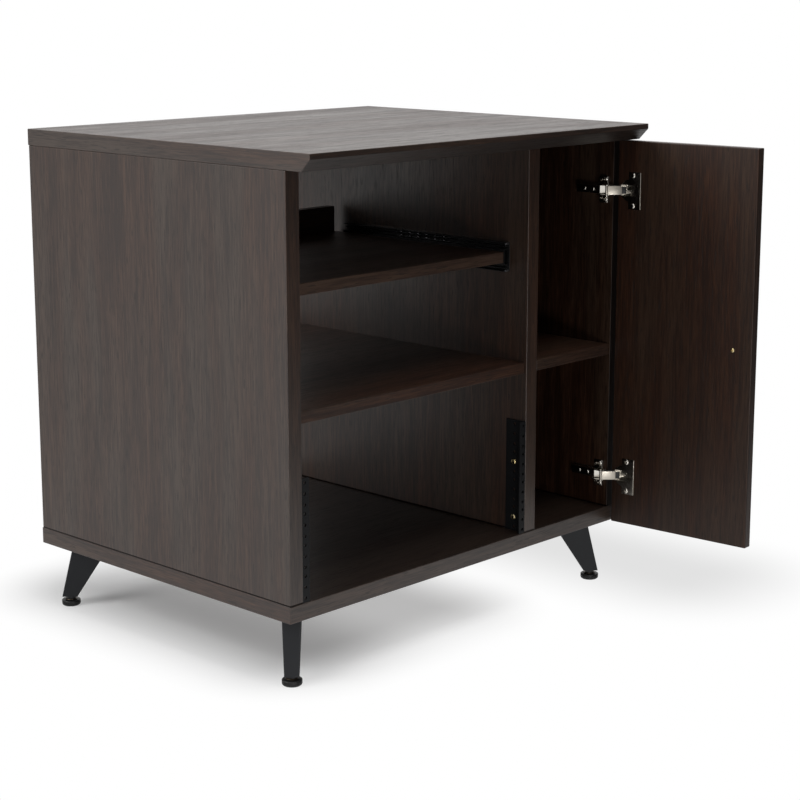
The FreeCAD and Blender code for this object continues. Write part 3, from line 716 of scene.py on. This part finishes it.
def make_foot(name):
    low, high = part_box(name)
    middle = Matrix.Translation(((low.x + high.x) / 2, (low.y + high.y) / 2, low.z))
    profile = FOOT_BELOW_RIM + FOOT_RIM + FOOT_ABOVE_RIM + FOOT_NECK + stem_profile()
    shape = turned(scaled(profile), 2 * FOOT_RIBS)
    ribbed_rim(shape)
    make_piece(name + "_pad", moved(shape, middle), foot_plastic, name, "foot_plastic", name)
    collar = moved(turned(scaled(COLLAR)), middle)
    make_piece(name + "_collar", collar, bronze, name, "foot_plastic")


for corner in ("front_left", "front_right", "back_right", "back_left"):
    make_foot(corner + "_foot")


# Screws with a domed head and a cross recess. The head's profile and recess are in shares of its
# radius and height, the shank's radius is a share of the head's, and its point and taper of its own
HEAD_PROFILE = ((1.0, 0.0), (1.0, 0.3), (0.93, 0.62), (0.8, 0.88), (0.68, 1.0))
RECESS_REACH_SHARE = 0.56
RECESS_WIDTH_SHARE = 0.13
RECESS_DEPTH_SHARE = 0.8
RAIL_RECESS = 1.25
SHANK_SHARE = 0.5
SHANK_POINT = 0.3
SHANK_TAPER = 2.0
SCREW_STEPS = 24
# No two screws of a set stand with their crosses at the same angle
FIRST_TWIST = 0.35
NEXT_TWIST = 1.1
HEAD_HEIGHTS = {
    "hinge_cup_screws": 1.4,
    "hinge_plate_screws": 1.8,
    "hinge_arm_screws": 1.2,
    "rail_screws": 2.6,
    "knob_screw": 2.0,
}


def cross_outline(reach, half):
    """The twelve corners of a cross, in order round it."""
    quarter = [(half, half), (half, reach), (-half, reach)]
    corners = []
    for turn in range(4):
        cos, sin = math.cos(turn * math.pi / 2), math.sin(turn * math.pi / 2)
        corners += [(x * cos - y * sin, x * sin + y * cos) for x, y in quarter]
    return corners


def make_screw(radius, head, length, recess=1.0):
    """A screw along Z whose head sits on Z = 0 and whose shank reaches down."""
    shank = SHANK_SHARE * radius
    profile = [
        (0, -length),
        (SHANK_POINT * shank, -length),
        (shank, -length + SHANK_TAPER * shank),
        (shank, 0),
    ]
    profile += [(share * radius, rise * head) for share, rise in HEAD_PROFILE]
    shape = turned(profile, SCREW_STEPS)
    rim = [edge for edge in shape.edges if edge.is_boundary]
    reach, half = RECESS_REACH_SHARE * radius * recess, RECESS_WIDTH_SHARE * radius * recess
    corners = [shape.verts.new((x, y, head)) for x, y in cross_outline(reach, half)]
    outline = [shape.edges.new(pair) for pair in zip(corners, corners[1:] + corners[:1])]
    bmesh.ops.bridge_loops(shape, edges=rim + outline)
    sunk = bmesh.ops.extrude_edge_only(shape, edges=outline)["geom"]
    floor_corners = [item for item in sunk if isinstance(item, bmesh.types.BMVert)]
    bmesh.ops.translate(shape, vec=(0, 0, -RECESS_DEPTH_SHARE * head), verts=floor_corners)
    bmesh.ops.edgeloop_fill(shape, edges=[item for item in sunk if isinstance(item, bmesh.types.BMEdge)])
    bmesh.ops.recalc_face_normals(shape, faces=shape.faces)
    return shape


def screw_set(name, axis=None, back=Matrix(), turn=Matrix(), recess=1.0):
    """New screws in the places of a node's screws; axis points from the shanks to the heads.

    Without an axis, the heads face each other across X.
    """
    head = HEAD_HEIGHTS[name] * MM
    low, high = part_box(name)
    centre = (low + high) / 2
    shapes = []
    for number, (low, high) in enumerate(island_boxes(name, back)):
        middle = (low + high) / 2
        facing = axis or (math.copysign(1.0, centre.x - middle.x), 0, 0)
        index = max(range(3), key=lambda i: abs(facing[i]))
        across = (index + 1) % 3
        top = high[index] if facing[index] > 0 else low[index]
        middle[index] = top - facing[index] * head
        radius = (high[across] - low[across]) / 2
        length = high[index] - low[index] - head
        twist = Matrix.Rotation(FIRST_TWIST + NEXT_TWIST * number, 4, "Z")
        screw = make_screw(radius, head, length, recess)
        shapes.append(moved(screw, twist, standing(facing), Matrix.Translation(middle), turn))
    return joined(*shapes)


def make_carcass_side_screws():
    """The screws of the hinges' plates and arms; their heads face the right bay."""
    for name in ("hinge_plate_screws", "hinge_arm_screws"):
        make_piece(name[:-1] + "_heads", screw_set(name, (-1, 0, 0)), nickel, "carcass", "nickel", name)


def make_door_screws():
    """The screws of the hinge cups and of the knob, whose heads show on the door's inner face."""
    jobs = (("hinge_cup_screws", nickel, "nickel"), ("knob_screw", yellow_zinc, "yellow_zinc"))
    for name, finish, slot in jobs:
        shape = screw_set(name, (0, 1, 0), door_turn.inverted(), door_turn)
        make_piece(name + "_turned", shape, finish, "door", slot, name)


def make_rail_screws():
    """The rack rails' screws, with wide dark recesses; their heads face each other across the bay."""
    shape = screw_set("rail_screws", recess=RAIL_RECESS)
    make_piece("rail_screw_heads", shape, yellow_zinc, "carcass", "yellow_zinc", "rail_screws")


make_carcass_side_screws()
make_door_screws()
make_rail_screws()


# Concealed hinges. Mounting plate: wings and spine
PLATE_SET_IN = 5.0 * MM
WING_DEPTH = 17.0 * MM
WING_CORNER = 3.0 * MM
SPINE_HALF = 8.0 * MM
SPINE_PROUD = 0.2 * MM
SPINE_CORNER = 2.0 * MM
PLATE_ROUNDING = 0.4 * MM
# Its raised front lips, from the plate's middle outwards, and its screw eyes in millimetres
LIP_FROM = 10.5 * MM
LIP_TO = 20.5 * MM
LIP_STANDS = 1.2 * MM
LIP_SINKS = 0.5 * MM
LIP_PROUD = 0.2 * MM
LIP_SHEET = 1.0 * MM
LIP_CORNER = 0.45 * MM
LIP_ROUNDING = 0.3 * MM
EYE_BACK = 13.5 * MM
EYE_ASIDE = 14.5 * MM
PLATE_EYE = [(0, -0.5), (2.3, -0.5), (2.3, 0.5), (1.5, 0.6), (1.3, 0.1), (0, 0.1)]
PLATE_EYE_STEPS = 24
# Arm: its height over the wall, the fork that the link works in, and the bar behind it
ARM_HEIGHT = 8.0 * MM
FORK_DEPTH = 8.0 * MM
BAR_BACK = 7.0 * MM
BAR_HALF = 7.0 * MM
BAR_CORNER = 1.6 * MM
BAR_ROUNDING = 0.6 * MM
SADDLE_HALF = 6.6 * MM
SADDLE_PROUD = 0.6 * MM
SADDLE_LENGTH = 9.0 * MM
SADDLE_ROUNDING = 0.7 * MM
# The saddle's front upper edge is the points this near to it, and it drops this far
SLOPE_EDGE_LENGTH = 2.0 * MM
SLOPE_EDGE_HEIGHT = 3.0 * MM
SLOPE_DROP = 4.6 * MM
CHEEK_FROM = 7.15 * MM
CHEEK_TO = 8.6 * MM
CHEEK_LIFT = 0.5 * MM
CHEEK_BACK = 12.0 * MM
CHEEK_CORNER = 2.3 * MM
CHEEK_ROUNDING = 0.35 * MM
# Link: the bright pressing's web, flanges and pin eye, and the dark tip
LINK_BRIGHT = 24.0 * MM
LINK_HALF_SHEET = 1.6 * MM
LINK_CORNER = 0.5 * MM
LINK_ROUNDING = 0.45 * MM
FLANGE_DEPTH = 4.6 * MM
FLANGE_SHEET = 1.4 * MM
FLANGE_FROM = 2.4 * MM
FLANGE_SET_IN = 0.1 * MM
FLANGE_SHORT = 0.4 * MM
FLANGE_ROUNDING = 0.4 * MM
LINK_EYE_RADIUS = 2.4 * MM
LINK_EYE_FACE = 2.2 * MM
LINK_EYE_CHAMFER = 0.3 * MM
LINK_EYE_STEPS = 32
TIP_OVERLAP = 1.0 * MM
TIP_THINNER = 0.3 * MM
TIP_NARROWER = 1.6 * MM
TIP_SHORT = 1.5 * MM
TIP_CORNER = 0.8 * MM
TIP_ROUNDING = 0.4 * MM
# Cup: the rim's profile in millimetres from the cup's middle, and the bead on the flange's far edge
CUP_RADIUS = 17.5 * MM
CUP_FACE = 2.0 * MM
CUP_RIM = [(16.6, 0.5), (17.5, 0.5), (17.7, 0.7), (17.5, 0.95), (17.0, 1.05), (16.7, 0.9), (16.6, 0.5)]
BEAD_SHORT = 1.2 * MM
BEAD_END = [(0.0, 0.8), (0.6, 0.5), (0.8, 0.0)]
BEAD_IN = 0.3 * MM
BEAD_STANDS = 0.7 * MM
BEAD_STEPS = 20


def make_hinge_plate(level):
    """Mounting plate: two wings with raised front lips and screw eyes, and a long spine under the arm."""
    low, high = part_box(level + "_hinge_plate")
    z = (low.z + high.z) / 2
    front = low.y + PLATE_SET_IN
    wing_back = (high.x, front + WING_DEPTH, high.z)
    spine_front = (low.x - SPINE_PROUD, front, z - SPINE_HALF)
    spine_back = (high.x, high.y, z + SPINE_HALF)
    parts = [
        new_box((low.x, front, low.z), wing_back, WING_CORNER, "X", PLATE_ROUNDING),
        new_box(spine_front, spine_back, SPINE_CORNER, "X", PLATE_ROUNDING),
    ]
    for side in (-1, 1):
        lip_front = (low.x - LIP_STANDS, front - LIP_PROUD, z + side * LIP_FROM)
        lip_back = (low.x + LIP_SINKS, front + LIP_SHEET, z + side * LIP_TO)
        parts.append(new_box(lip_front, lip_back, LIP_CORNER, "Z", LIP_ROUNDING))
        eye = turned(scaled(PLATE_EYE), PLATE_EYE_STEPS)
        place = Matrix.Translation((low.x, front + EYE_BACK, z + side * EYE_ASIDE))
        parts.append(moved(eye, standing((-1, 0, 0)), place))
    name = level + "_hinge_mounting_plate"
    make_piece(name, joined(*parts), nickel, "carcass", "nickel", level + "_hinge_plate")


def make_saddle(face, front, z, wall):
    """The arm's front block, whose front upper edge drops to a slope."""
    saddle_front = (face - SADDLE_PROUD, front, z - SADDLE_HALF)
    saddle_back = (wall, front + SADDLE_LENGTH, z + SADDLE_HALF)
    saddle = new_box(saddle_front, saddle_back, rounding=SADDLE_ROUNDING)
    edge = [
        vertex
        for vertex in saddle.verts
        if vertex.co.y < front + SLOPE_EDGE_LENGTH and vertex.co.x < face + SLOPE_EDGE_HEIGHT
    ]
    bmesh.ops.translate(saddle, vec=(SLOPE_DROP, 0, 0), verts=edge)
    return saddle


def make_hinge_arm(level, pivot):
    """Arm with a sloped saddle at its front, and two cheeks that hold the link's pin."""
    low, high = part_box(level + "_hinge_arm")
    z = (low.z + high.z) / 2
    face = high.x - ARM_HEIGHT
    fork_back = pivot.y + FORK_DEPTH
    bar_front = (face, fork_back + BAR_BACK, z - BAR_HALF)
    bar_back = (high.x, high.y, z + BAR_HALF)
    parts = [
        new_box(bar_front, bar_back, BAR_CORNER, "Y", BAR_ROUNDING),
        make_saddle(face, fork_back, z, high.x),
    ]
    for side in (-1, 1):
        cheek_front = (low.x, low.y, z + side * CHEEK_FROM)
        cheek_back = (high.x - CHEEK_LIFT, fork_back + CHEEK_BACK, z + side * CHEEK_TO)
        parts.append(new_box(cheek_front, cheek_back, CHEEK_CORNER, "Z", CHEEK_ROUNDING))
    make_piece(level + "_hinge_side_arm", joined(*parts), nickel, "carcass", "nickel", level + "_hinge_arm")


def make_link_pressing(height):
    """The link's bright part along X: a web, two flanges and the eye that its pin goes through."""
    half = LINK_HALF_SHEET
    web = new_box((0, -half, -height), (LINK_BRIGHT, half, height), LINK_CORNER, "X", LINK_ROUNDING)
    parts = [web]
    for side in (-1, 1):
        flange_start = (FLANGE_FROM, -half + FLANGE_SET_IN, side * height)
        flange_end = (LINK_BRIGHT - FLANGE_SHORT, FLANGE_DEPTH, side * (height - FLANGE_SHEET))
        parts.append(new_box(flange_start, flange_end, rounding=FLANGE_ROUNDING))
    eye_end = [(0, -height), (LINK_EYE_FACE, -height), (LINK_EYE_RADIUS, -height + LINK_EYE_CHAMFER)]
    parts.append(turned(both_ends(eye_end), LINK_EYE_STEPS))
    return joined(*parts)


def make_hinge_link(level, pivot):
    """A pressed steel link with two flanges and a pin eye, and a dark tip that works in the cup."""
    body = level + "_hinge_link"
    low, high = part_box(body)
    tip = Vector((high.x, low.y, 0)) - Vector((pivot.x, pivot.y, 0))
    turn = Matrix.Rotation(math.atan2(tip.y, tip.x), 4, "Z")
    place = Matrix.Translation((pivot.x, pivot.y, (low.z + high.z) / 2)) @ turn
    height = (high.z - low.z) / 2
    pressing = moved(make_link_pressing(height), place)
    make_piece(body + "_pressing", pressing, link_steel, body, "nickel", body)
    half, tall = LINK_HALF_SHEET - TIP_THINNER, height - TIP_NARROWER
    tip_end = (tip.length - TIP_SHORT, half, tall)
    dark = new_box((LINK_BRIGHT - TIP_OVERLAP, -half, -tall), tip_end, TIP_CORNER, "Z", TIP_ROUNDING)
    make_piece(body + "_tip", moved(dark, place), foot_plastic, body, "nickel")


def make_cup_trim(level):
    """Raised rim round the cup, and the rolled far edge of its flange."""
    low, high = shut_box(level + "_hinge_cup")
    z = (low.z + high.z) / 2
    face = high.y - CUP_FACE
    middle = Matrix.Translation((high.x - CUP_RADIUS, face, z))
    ring = moved(turned(scaled(CUP_RIM)), standing((0, 1, 0)), middle, door_turn)
    make_piece(level + "_hinge_cup_rim", ring, dark_steel, "door", "nickel")
    half = (high.z - low.z) / 2 - BEAD_SHORT
    bead = turned(both_ends([(radius, -half - end) for radius, end in scaled(BEAD_END)]), BEAD_STEPS)
    bead = moved(bead, Matrix.Translation((low.x + BEAD_IN, face + BEAD_STANDS, z)), door_turn)
    make_piece(level + "_hinge_cup_bead", bead, link_steel, "door", "nickel")


for level in ("upper", "lower"):
    pivot = Vector(joints[level + "_hinge_link_turn"]["pos_m"])
    make_hinge_plate(level)
    make_hinge_arm(level, pivot)
    make_hinge_link(level, pivot)
    make_cup_trim(level)


# Runner ends: formed stops on the corners of each cabinet member, and a strip between them. The
# stops' reach is from the wall, and from the member's upper or lower edge
STOP_FROM_WALL = 3.0 * MM
STOP_TO_WALL = 9.6 * MM
STOP_FROM_EDGE = 0.2 * MM
STOP_TO_EDGE = 3.6 * MM
STOP_PROUD = 0.9 * MM
STOP_DEPTH = 1.2 * MM
STOP_CORNER = 0.6 * MM
STOP_ROUNDING = 0.35 * MM
STRIP_THICKNESS = 1.1 * MM
STRIP_PROUD = 0.7 * MM
STRIP_DEPTH = 0.5 * MM
STRIP_ROUNDING = 0.3 * MM


def make_runner_stops(side):
    low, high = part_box(side + "_runner_outer")
    wall, inward = (low.x, 1) if side == "left" else (high.x, -1)
    stops = []
    for edge, up in ((low.z, 1), (high.z, -1)):
        stop_front = (wall + inward * STOP_FROM_WALL, low.y - STOP_PROUD, edge + up * STOP_FROM_EDGE)
        stop_back = (wall + inward * STOP_TO_WALL, low.y + STOP_DEPTH, edge + up * STOP_TO_EDGE)
        stops.append(new_box(stop_front, stop_back, STOP_CORNER, "Y", STOP_ROUNDING))
    strip_back = (wall + inward * STRIP_THICKNESS, low.y + STRIP_DEPTH, high.z)
    strip = new_box((wall, low.y - STRIP_PROUD, low.z), strip_back, rounding=STRIP_ROUNDING)
    make_piece(side + "_runner_end_strip", strip, black_plating, "carcass", "runner_black")
    make_piece(side + "_runner_end_stops", joined(*stops), dark_steel, "carcass", "runner_black")


for side in ("left", "right"):
    make_runner_stops(side)


# Door knob: radius and height in millimetres of its turned foot, its waist, its broad side, and its
# face with a shallow ring
KNOB_FOOT = [(0, 0), (8.6, 0), (9.2, 0.5), (9.0, 1.5), (7.4, 2.6)]
KNOB_WAIST = [(6.8, 5.5), (7.4, 8.2), (10.8, 9.6), (13.2, 11.0)]
KNOB_SIDE = [(13.9, 12.8), (14.0, 15.5), (14.0, 20.6), (13.6, 22.2), (12.6, 23.1)]
KNOB_FACE = [(11.2, 23.5), (10.9, 23.1), (10.5, 23.1), (10.1, 23.6), (6.0, 23.9), (0, 24.0)]
KNOB_STEPS = 72


def make_knob():
    low, high = shut_box("door_knob")
    place = Matrix.Translation(((low.x + high.x) / 2, high.y, (low.z + high.z) / 2))
    shape = turned(scaled(KNOB_FOOT + KNOB_WAIST + KNOB_SIDE + KNOB_FACE), KNOB_STEPS)
    shape = moved(shape, standing((0, -1, 0)), place, door_turn)
    make_piece("door_knob_turned", shape, brushed_nickel, "door", "knob_metal", "door_knob")


make_knob()


# Floor, sky, lamps and camera
FLOOR_SIZE = 30.0
FLOOR_COLOUR = (0.78, 0.78, 0.78, 1.0)
FLOOR_BOUNCE = (0.16, 0.16, 0.16, 1.0)
# Under the cabinet the floor's glow is weakest on the left, which paints its shadow darkest there
FLOOR_GLOW_RIGHT = 0.45
FLOOR_GLOW_LEFT = 0.15
LEFT_SHADE = (-0.3, -0.04)
FLOOR_GLOW_IN_GLOSS = 0.3
# The floor grows white from this far inside the left and front, and the right and rear edges of the
# footprint, over this distance
SHADE_INSET_LOW = (0.11, 0.17, 0.0)
SHADE_INSET_HIGH = (0.33, 0.0, 0.0)
WHITE_RANGE = (0.0, 0.21)
# Reflections of the floor behind grow white only further out, past the cabinet's wide soft shadow
GLOSS_WHITE_RANGE = (0.35, 1.35)
GLOSS_SHADOW_RANGE = (-0.1, 0.5)
# The open door's faint shadow on the floor beside it
DOOR_SHADE_MIDDLE = (0.44, -0.04, 0.0)
DOOR_SHADE_HALF = (0.02, 0.2, 1.0)
DOOR_SHADE_REACH = 0.26
DOOR_SHADE_LOSS = 0.24
SKY_LEVEL = 0.19
# Reflections in the front edges and on the shelves show a studio that is dim on two sides. The
# floor's ranges are in metres from the middle, and the others are shares of a direction
FRONT_RIGHT = (0.5, -0.87, 0.0)
BEHIND = (0.0, 1.0, 0.0)
DIM_LEVEL = 0.1
FLOOR_DIM_RIGHT = (0.3, 1.8)
FLOOR_DIM_BEHIND = (0.7, 1.2)
SKY_DIM_RIGHT = (0.0, 0.8)
STRAIGHT_BEHIND = (0.8, 0.95)
# Lamps: place, the point that it looks at, size, and power in watts
LAMPS = {
    "overhead_softbox": ((0.1, -0.5, 3.1), (0.1, -0.1, 0.4), 2.0, 41.0),
    "left_softbox": ((-2.6, 0.9, 1.9), (0.0, 0.1, 0.4), 1.4, 39.0),
    "front_key": ((-0.75, -1.3, 0.06), (-0.1, -0.15, 0.1), 0.25, 4.5),
}


def towards(tree, vector, side):
    return vector_math(tree, "DOT_PRODUCT", vector, side, "Value")


def dim_share(tree, path, right, behind):
    """How much of the studio's light is missing for all rays but the camera's."""
    most = math_node(tree, "MAXIMUM", right, behind)
    others = math_node(tree, "SUBTRACT", 1.0, path.outputs["Is Camera Ray"])
    return math_node(tree, "MULTIPLY", math_node(tree, "MULTIPLY", most, others), 1.0 - DIM_LEVEL)


def seen_directly(tree, path):
    """1 for camera, glossy and transmission rays, which see the white background."""
    seen = math_node(tree, "MAXIMUM", path.outputs["Is Camera Ray"], path.outputs["Is Glossy Ray"])
    return math_node(tree, "MAXIMUM", seen, path.outputs["Is Transmission Ray"])


def outside_box(tree, place, middle, half):
    """Distance of a point from an upright box, given by its middle and its half sizes."""
    apart = vector_math(tree, "ABSOLUTE", vector_math(tree, "SUBTRACT", place, middle))
    beyond = vector_math(tree, "MAXIMUM", vector_math(tree, "SUBTRACT", apart, half))
    return vector_math(tree, "LENGTH", beyond, output="Value")


def outside_footprint(tree, place):
    """Distance of a floor point from the shaded part of the cabinet's footprint."""
    low, high = box_round([*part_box("top_panel"), *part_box("bottom_panel")])
    low, high = low + Vector(SHADE_INSET_LOW), high - Vector(SHADE_INSET_HIGH)
    middle, half = (low + high) / 2, (high - low) / 2
    return outside_box(tree, place, (middle.x, middle.y, 0.0), (half.x, half.y, 1.0))


def beside_door(tree, place):
    """The white floor's level: a little under 1 in the faint wide shadow that the open door throws."""
    distance = outside_box(tree, place, DOOR_SHADE_MIDDLE, DOOR_SHADE_HALF)
    lit = smooth_step(tree, distance, 0.0, DOOR_SHADE_REACH)
    return math_node(tree, "MULTIPLY_ADD", lit, DOOR_SHADE_LOSS, 1.0 - DOOR_SHADE_LOSS)


def shaded_floor(tree, path, place):
    """The floor under the cabinet: pale, catching the cabinet's real shadow, with a glow that is weakest on
    the left, which paints that shadow darker there.
    """
    level = smooth_step(tree, part_along(tree, place, "X"), *LEFT_SHADE)
    level = math_node(tree, "MULTIPLY_ADD", level, FLOOR_GLOW_RIGHT - FLOOR_GLOW_LEFT, FLOOR_GLOW_LEFT)
    change = math_node(tree, "SUBTRACT", FLOOR_GLOW_IN_GLOSS, level)
    level = math_node(tree, "MULTIPLY_ADD", path.outputs["Is Glossy Ray"], change, level)
    plain = add(tree, "ShaderNodeBsdfDiffuse", {"Color": FLOOR_COLOUR})
    glow = add(tree, "ShaderNodeEmission", {"Strength": level})
    return add(tree, "ShaderNodeAddShader", {0: plain.outputs[0], 1: glow.outputs[0]})


def white_share(tree, path, place):
    """How far the floor has grown white, which reflections see further out behind the cabinet."""
    outside = outside_footprint(tree, place)
    far = smooth_step(tree, outside, *WHITE_RANGE)
    far_in_gloss = smooth_step(tree, outside, *GLOSS_WHITE_RANGE)
    rear = smooth_step(tree, towards(tree, place, BEHIND), *GLOSS_SHADOW_RANGE)
    change = math_node(tree, "MULTIPLY", math_node(tree, "SUBTRACT", far_in_gloss, far), rear)
    return math_node(tree, "MULTIPLY_ADD", change, path.outputs["Is Glossy Ray"], far)


def floor_dim_share(tree, path, place):
    """The studio's two dim sides, as the floor shows them."""
    right = smooth_step(tree, towards(tree, place, FRONT_RIGHT), *FLOOR_DIM_RIGHT)
    behind = smooth_step(tree, towards(tree, place, BEHIND), *FLOOR_DIM_BEHIND)
    direction = vector_math(tree, "NORMALIZE", place)
    straight = smooth_step(tree, towards(tree, direction, BEHIND), *STRAIGHT_BEHIND)
    return dim_share(tree, path, right, math_node(tree, "MULTIPLY", behind, straight))


def floor_material():
    """Pale floor with the object's shadow under it; around it the floor is as white as the sky."""
    material = bpy.data.materials.new("studio_floor")
    material.use_nodes = True
    tree = material.node_tree
    tree.nodes.clear()
    place = add(tree, "ShaderNodeTexCoord").outputs["Object"]
    path = add(tree, "ShaderNodeLightPath")
    near = shaded_floor(tree, path, place)
    white = add(tree, "ShaderNodeEmission", {"Strength": beside_door(tree, place)})
    far = white_share(tree, path, place)
    pale = add(tree, "ShaderNodeMixShader", {0: far, 1: near.outputs[0], 2: white.outputs[0]})
    dark = add(tree, "ShaderNodeEmission", {"Strength": 0.0})
    share = floor_dim_share(tree, path, place)
    shown = add(tree, "ShaderNodeMixShader", {0: share, 1: pale.outputs[0], 2: dark.outputs[0]})
    bounce = add(tree, "ShaderNodeBsdfDiffuse", {"Color": FLOOR_BOUNCE})
    seen = seen_directly(tree, path)
    surface = add(tree, "ShaderNodeMixShader", {0: seen, 1: bounce.outputs[0], 2: shown.outputs[0]})
    add(tree, "ShaderNodeOutputMaterial", {"Surface": surface.outputs[0]})
    return material


def make_floor():
    mesh = bpy.data.meshes.new("floor")
    shape = bmesh.new()
    bmesh.ops.create_grid(shape, x_segments=1, y_segments=1, size=FLOOR_SIZE / 2)
    shape.to_mesh(mesh)
    shape.free()
    floor = bpy.data.objects.new("floor", mesh)
    bpy.context.scene.collection.objects.link(floor)
    mesh.materials.append(floor_material())


def make_sky():
    world = bpy.data.worlds.new("studio_sky")
    bpy.context.scene.world = world
    world.use_nodes = True
    tree = world.node_tree
    tree.nodes.clear()
    path = add(tree, "ShaderNodeLightPath")
    direction = add(tree, "ShaderNodeTexCoord").outputs["Generated"]
    right = smooth_step(tree, towards(tree, direction, FRONT_RIGHT), *SKY_DIM_RIGHT)
    behind = smooth_step(tree, towards(tree, direction, BEHIND), *STRAIGHT_BEHIND)
    level = math_node(tree, "MULTIPLY_ADD", seen_directly(tree, path), 1.0 - SKY_LEVEL, SKY_LEVEL)
    kept = math_node(tree, "SUBTRACT", 1.0, dim_share(tree, path, right, behind))
    strength = math_node(tree, "MULTIPLY", level, kept)
    background = add(tree, "ShaderNodeBackground", {"Color": (1, 1, 1, 1), "Strength": strength})
    add(tree, "ShaderNodeOutputWorld", {"Surface": background.outputs[0]})


def make_lamp(name, place, target, size, power):
    data = bpy.data.lights.new(name, "AREA")
    data.shape = "SQUARE"
    data.size = size
    data.energy = power
    lamp = bpy.data.objects.new(name, data)
    lamp.location = place
    toward = Vector(target) - Vector(place)
    lamp.rotation_euler = toward.to_track_quat("-Z", "Y").to_euler()
    lamp.visible_camera = False
    bpy.context.scene.collection.objects.link(lamp)


def make_camera():
    data = bpy.data.cameras.new("camera")
    data.lens = CAMERA_LENS
    data.shift_y = CAMERA_SHIFT
    data.clip_end = CAMERA_REACH
    camera = bpy.data.objects.new("camera", data)
    camera.location = CAMERA_PLACE
    camera.rotation_euler = (math.radians(90.0 - CAMERA_DIP), 0.0, -math.radians(CAMERA_YAW))
    bpy.context.scene.collection.objects.link(camera)
    bpy.context.scene.camera = camera


make_floor()
make_sky()
for name, lamp in LAMPS.items():
    make_lamp(name, *lamp)
make_camera()
bpy.context.scene.view_settings.view_transform = "Standard"
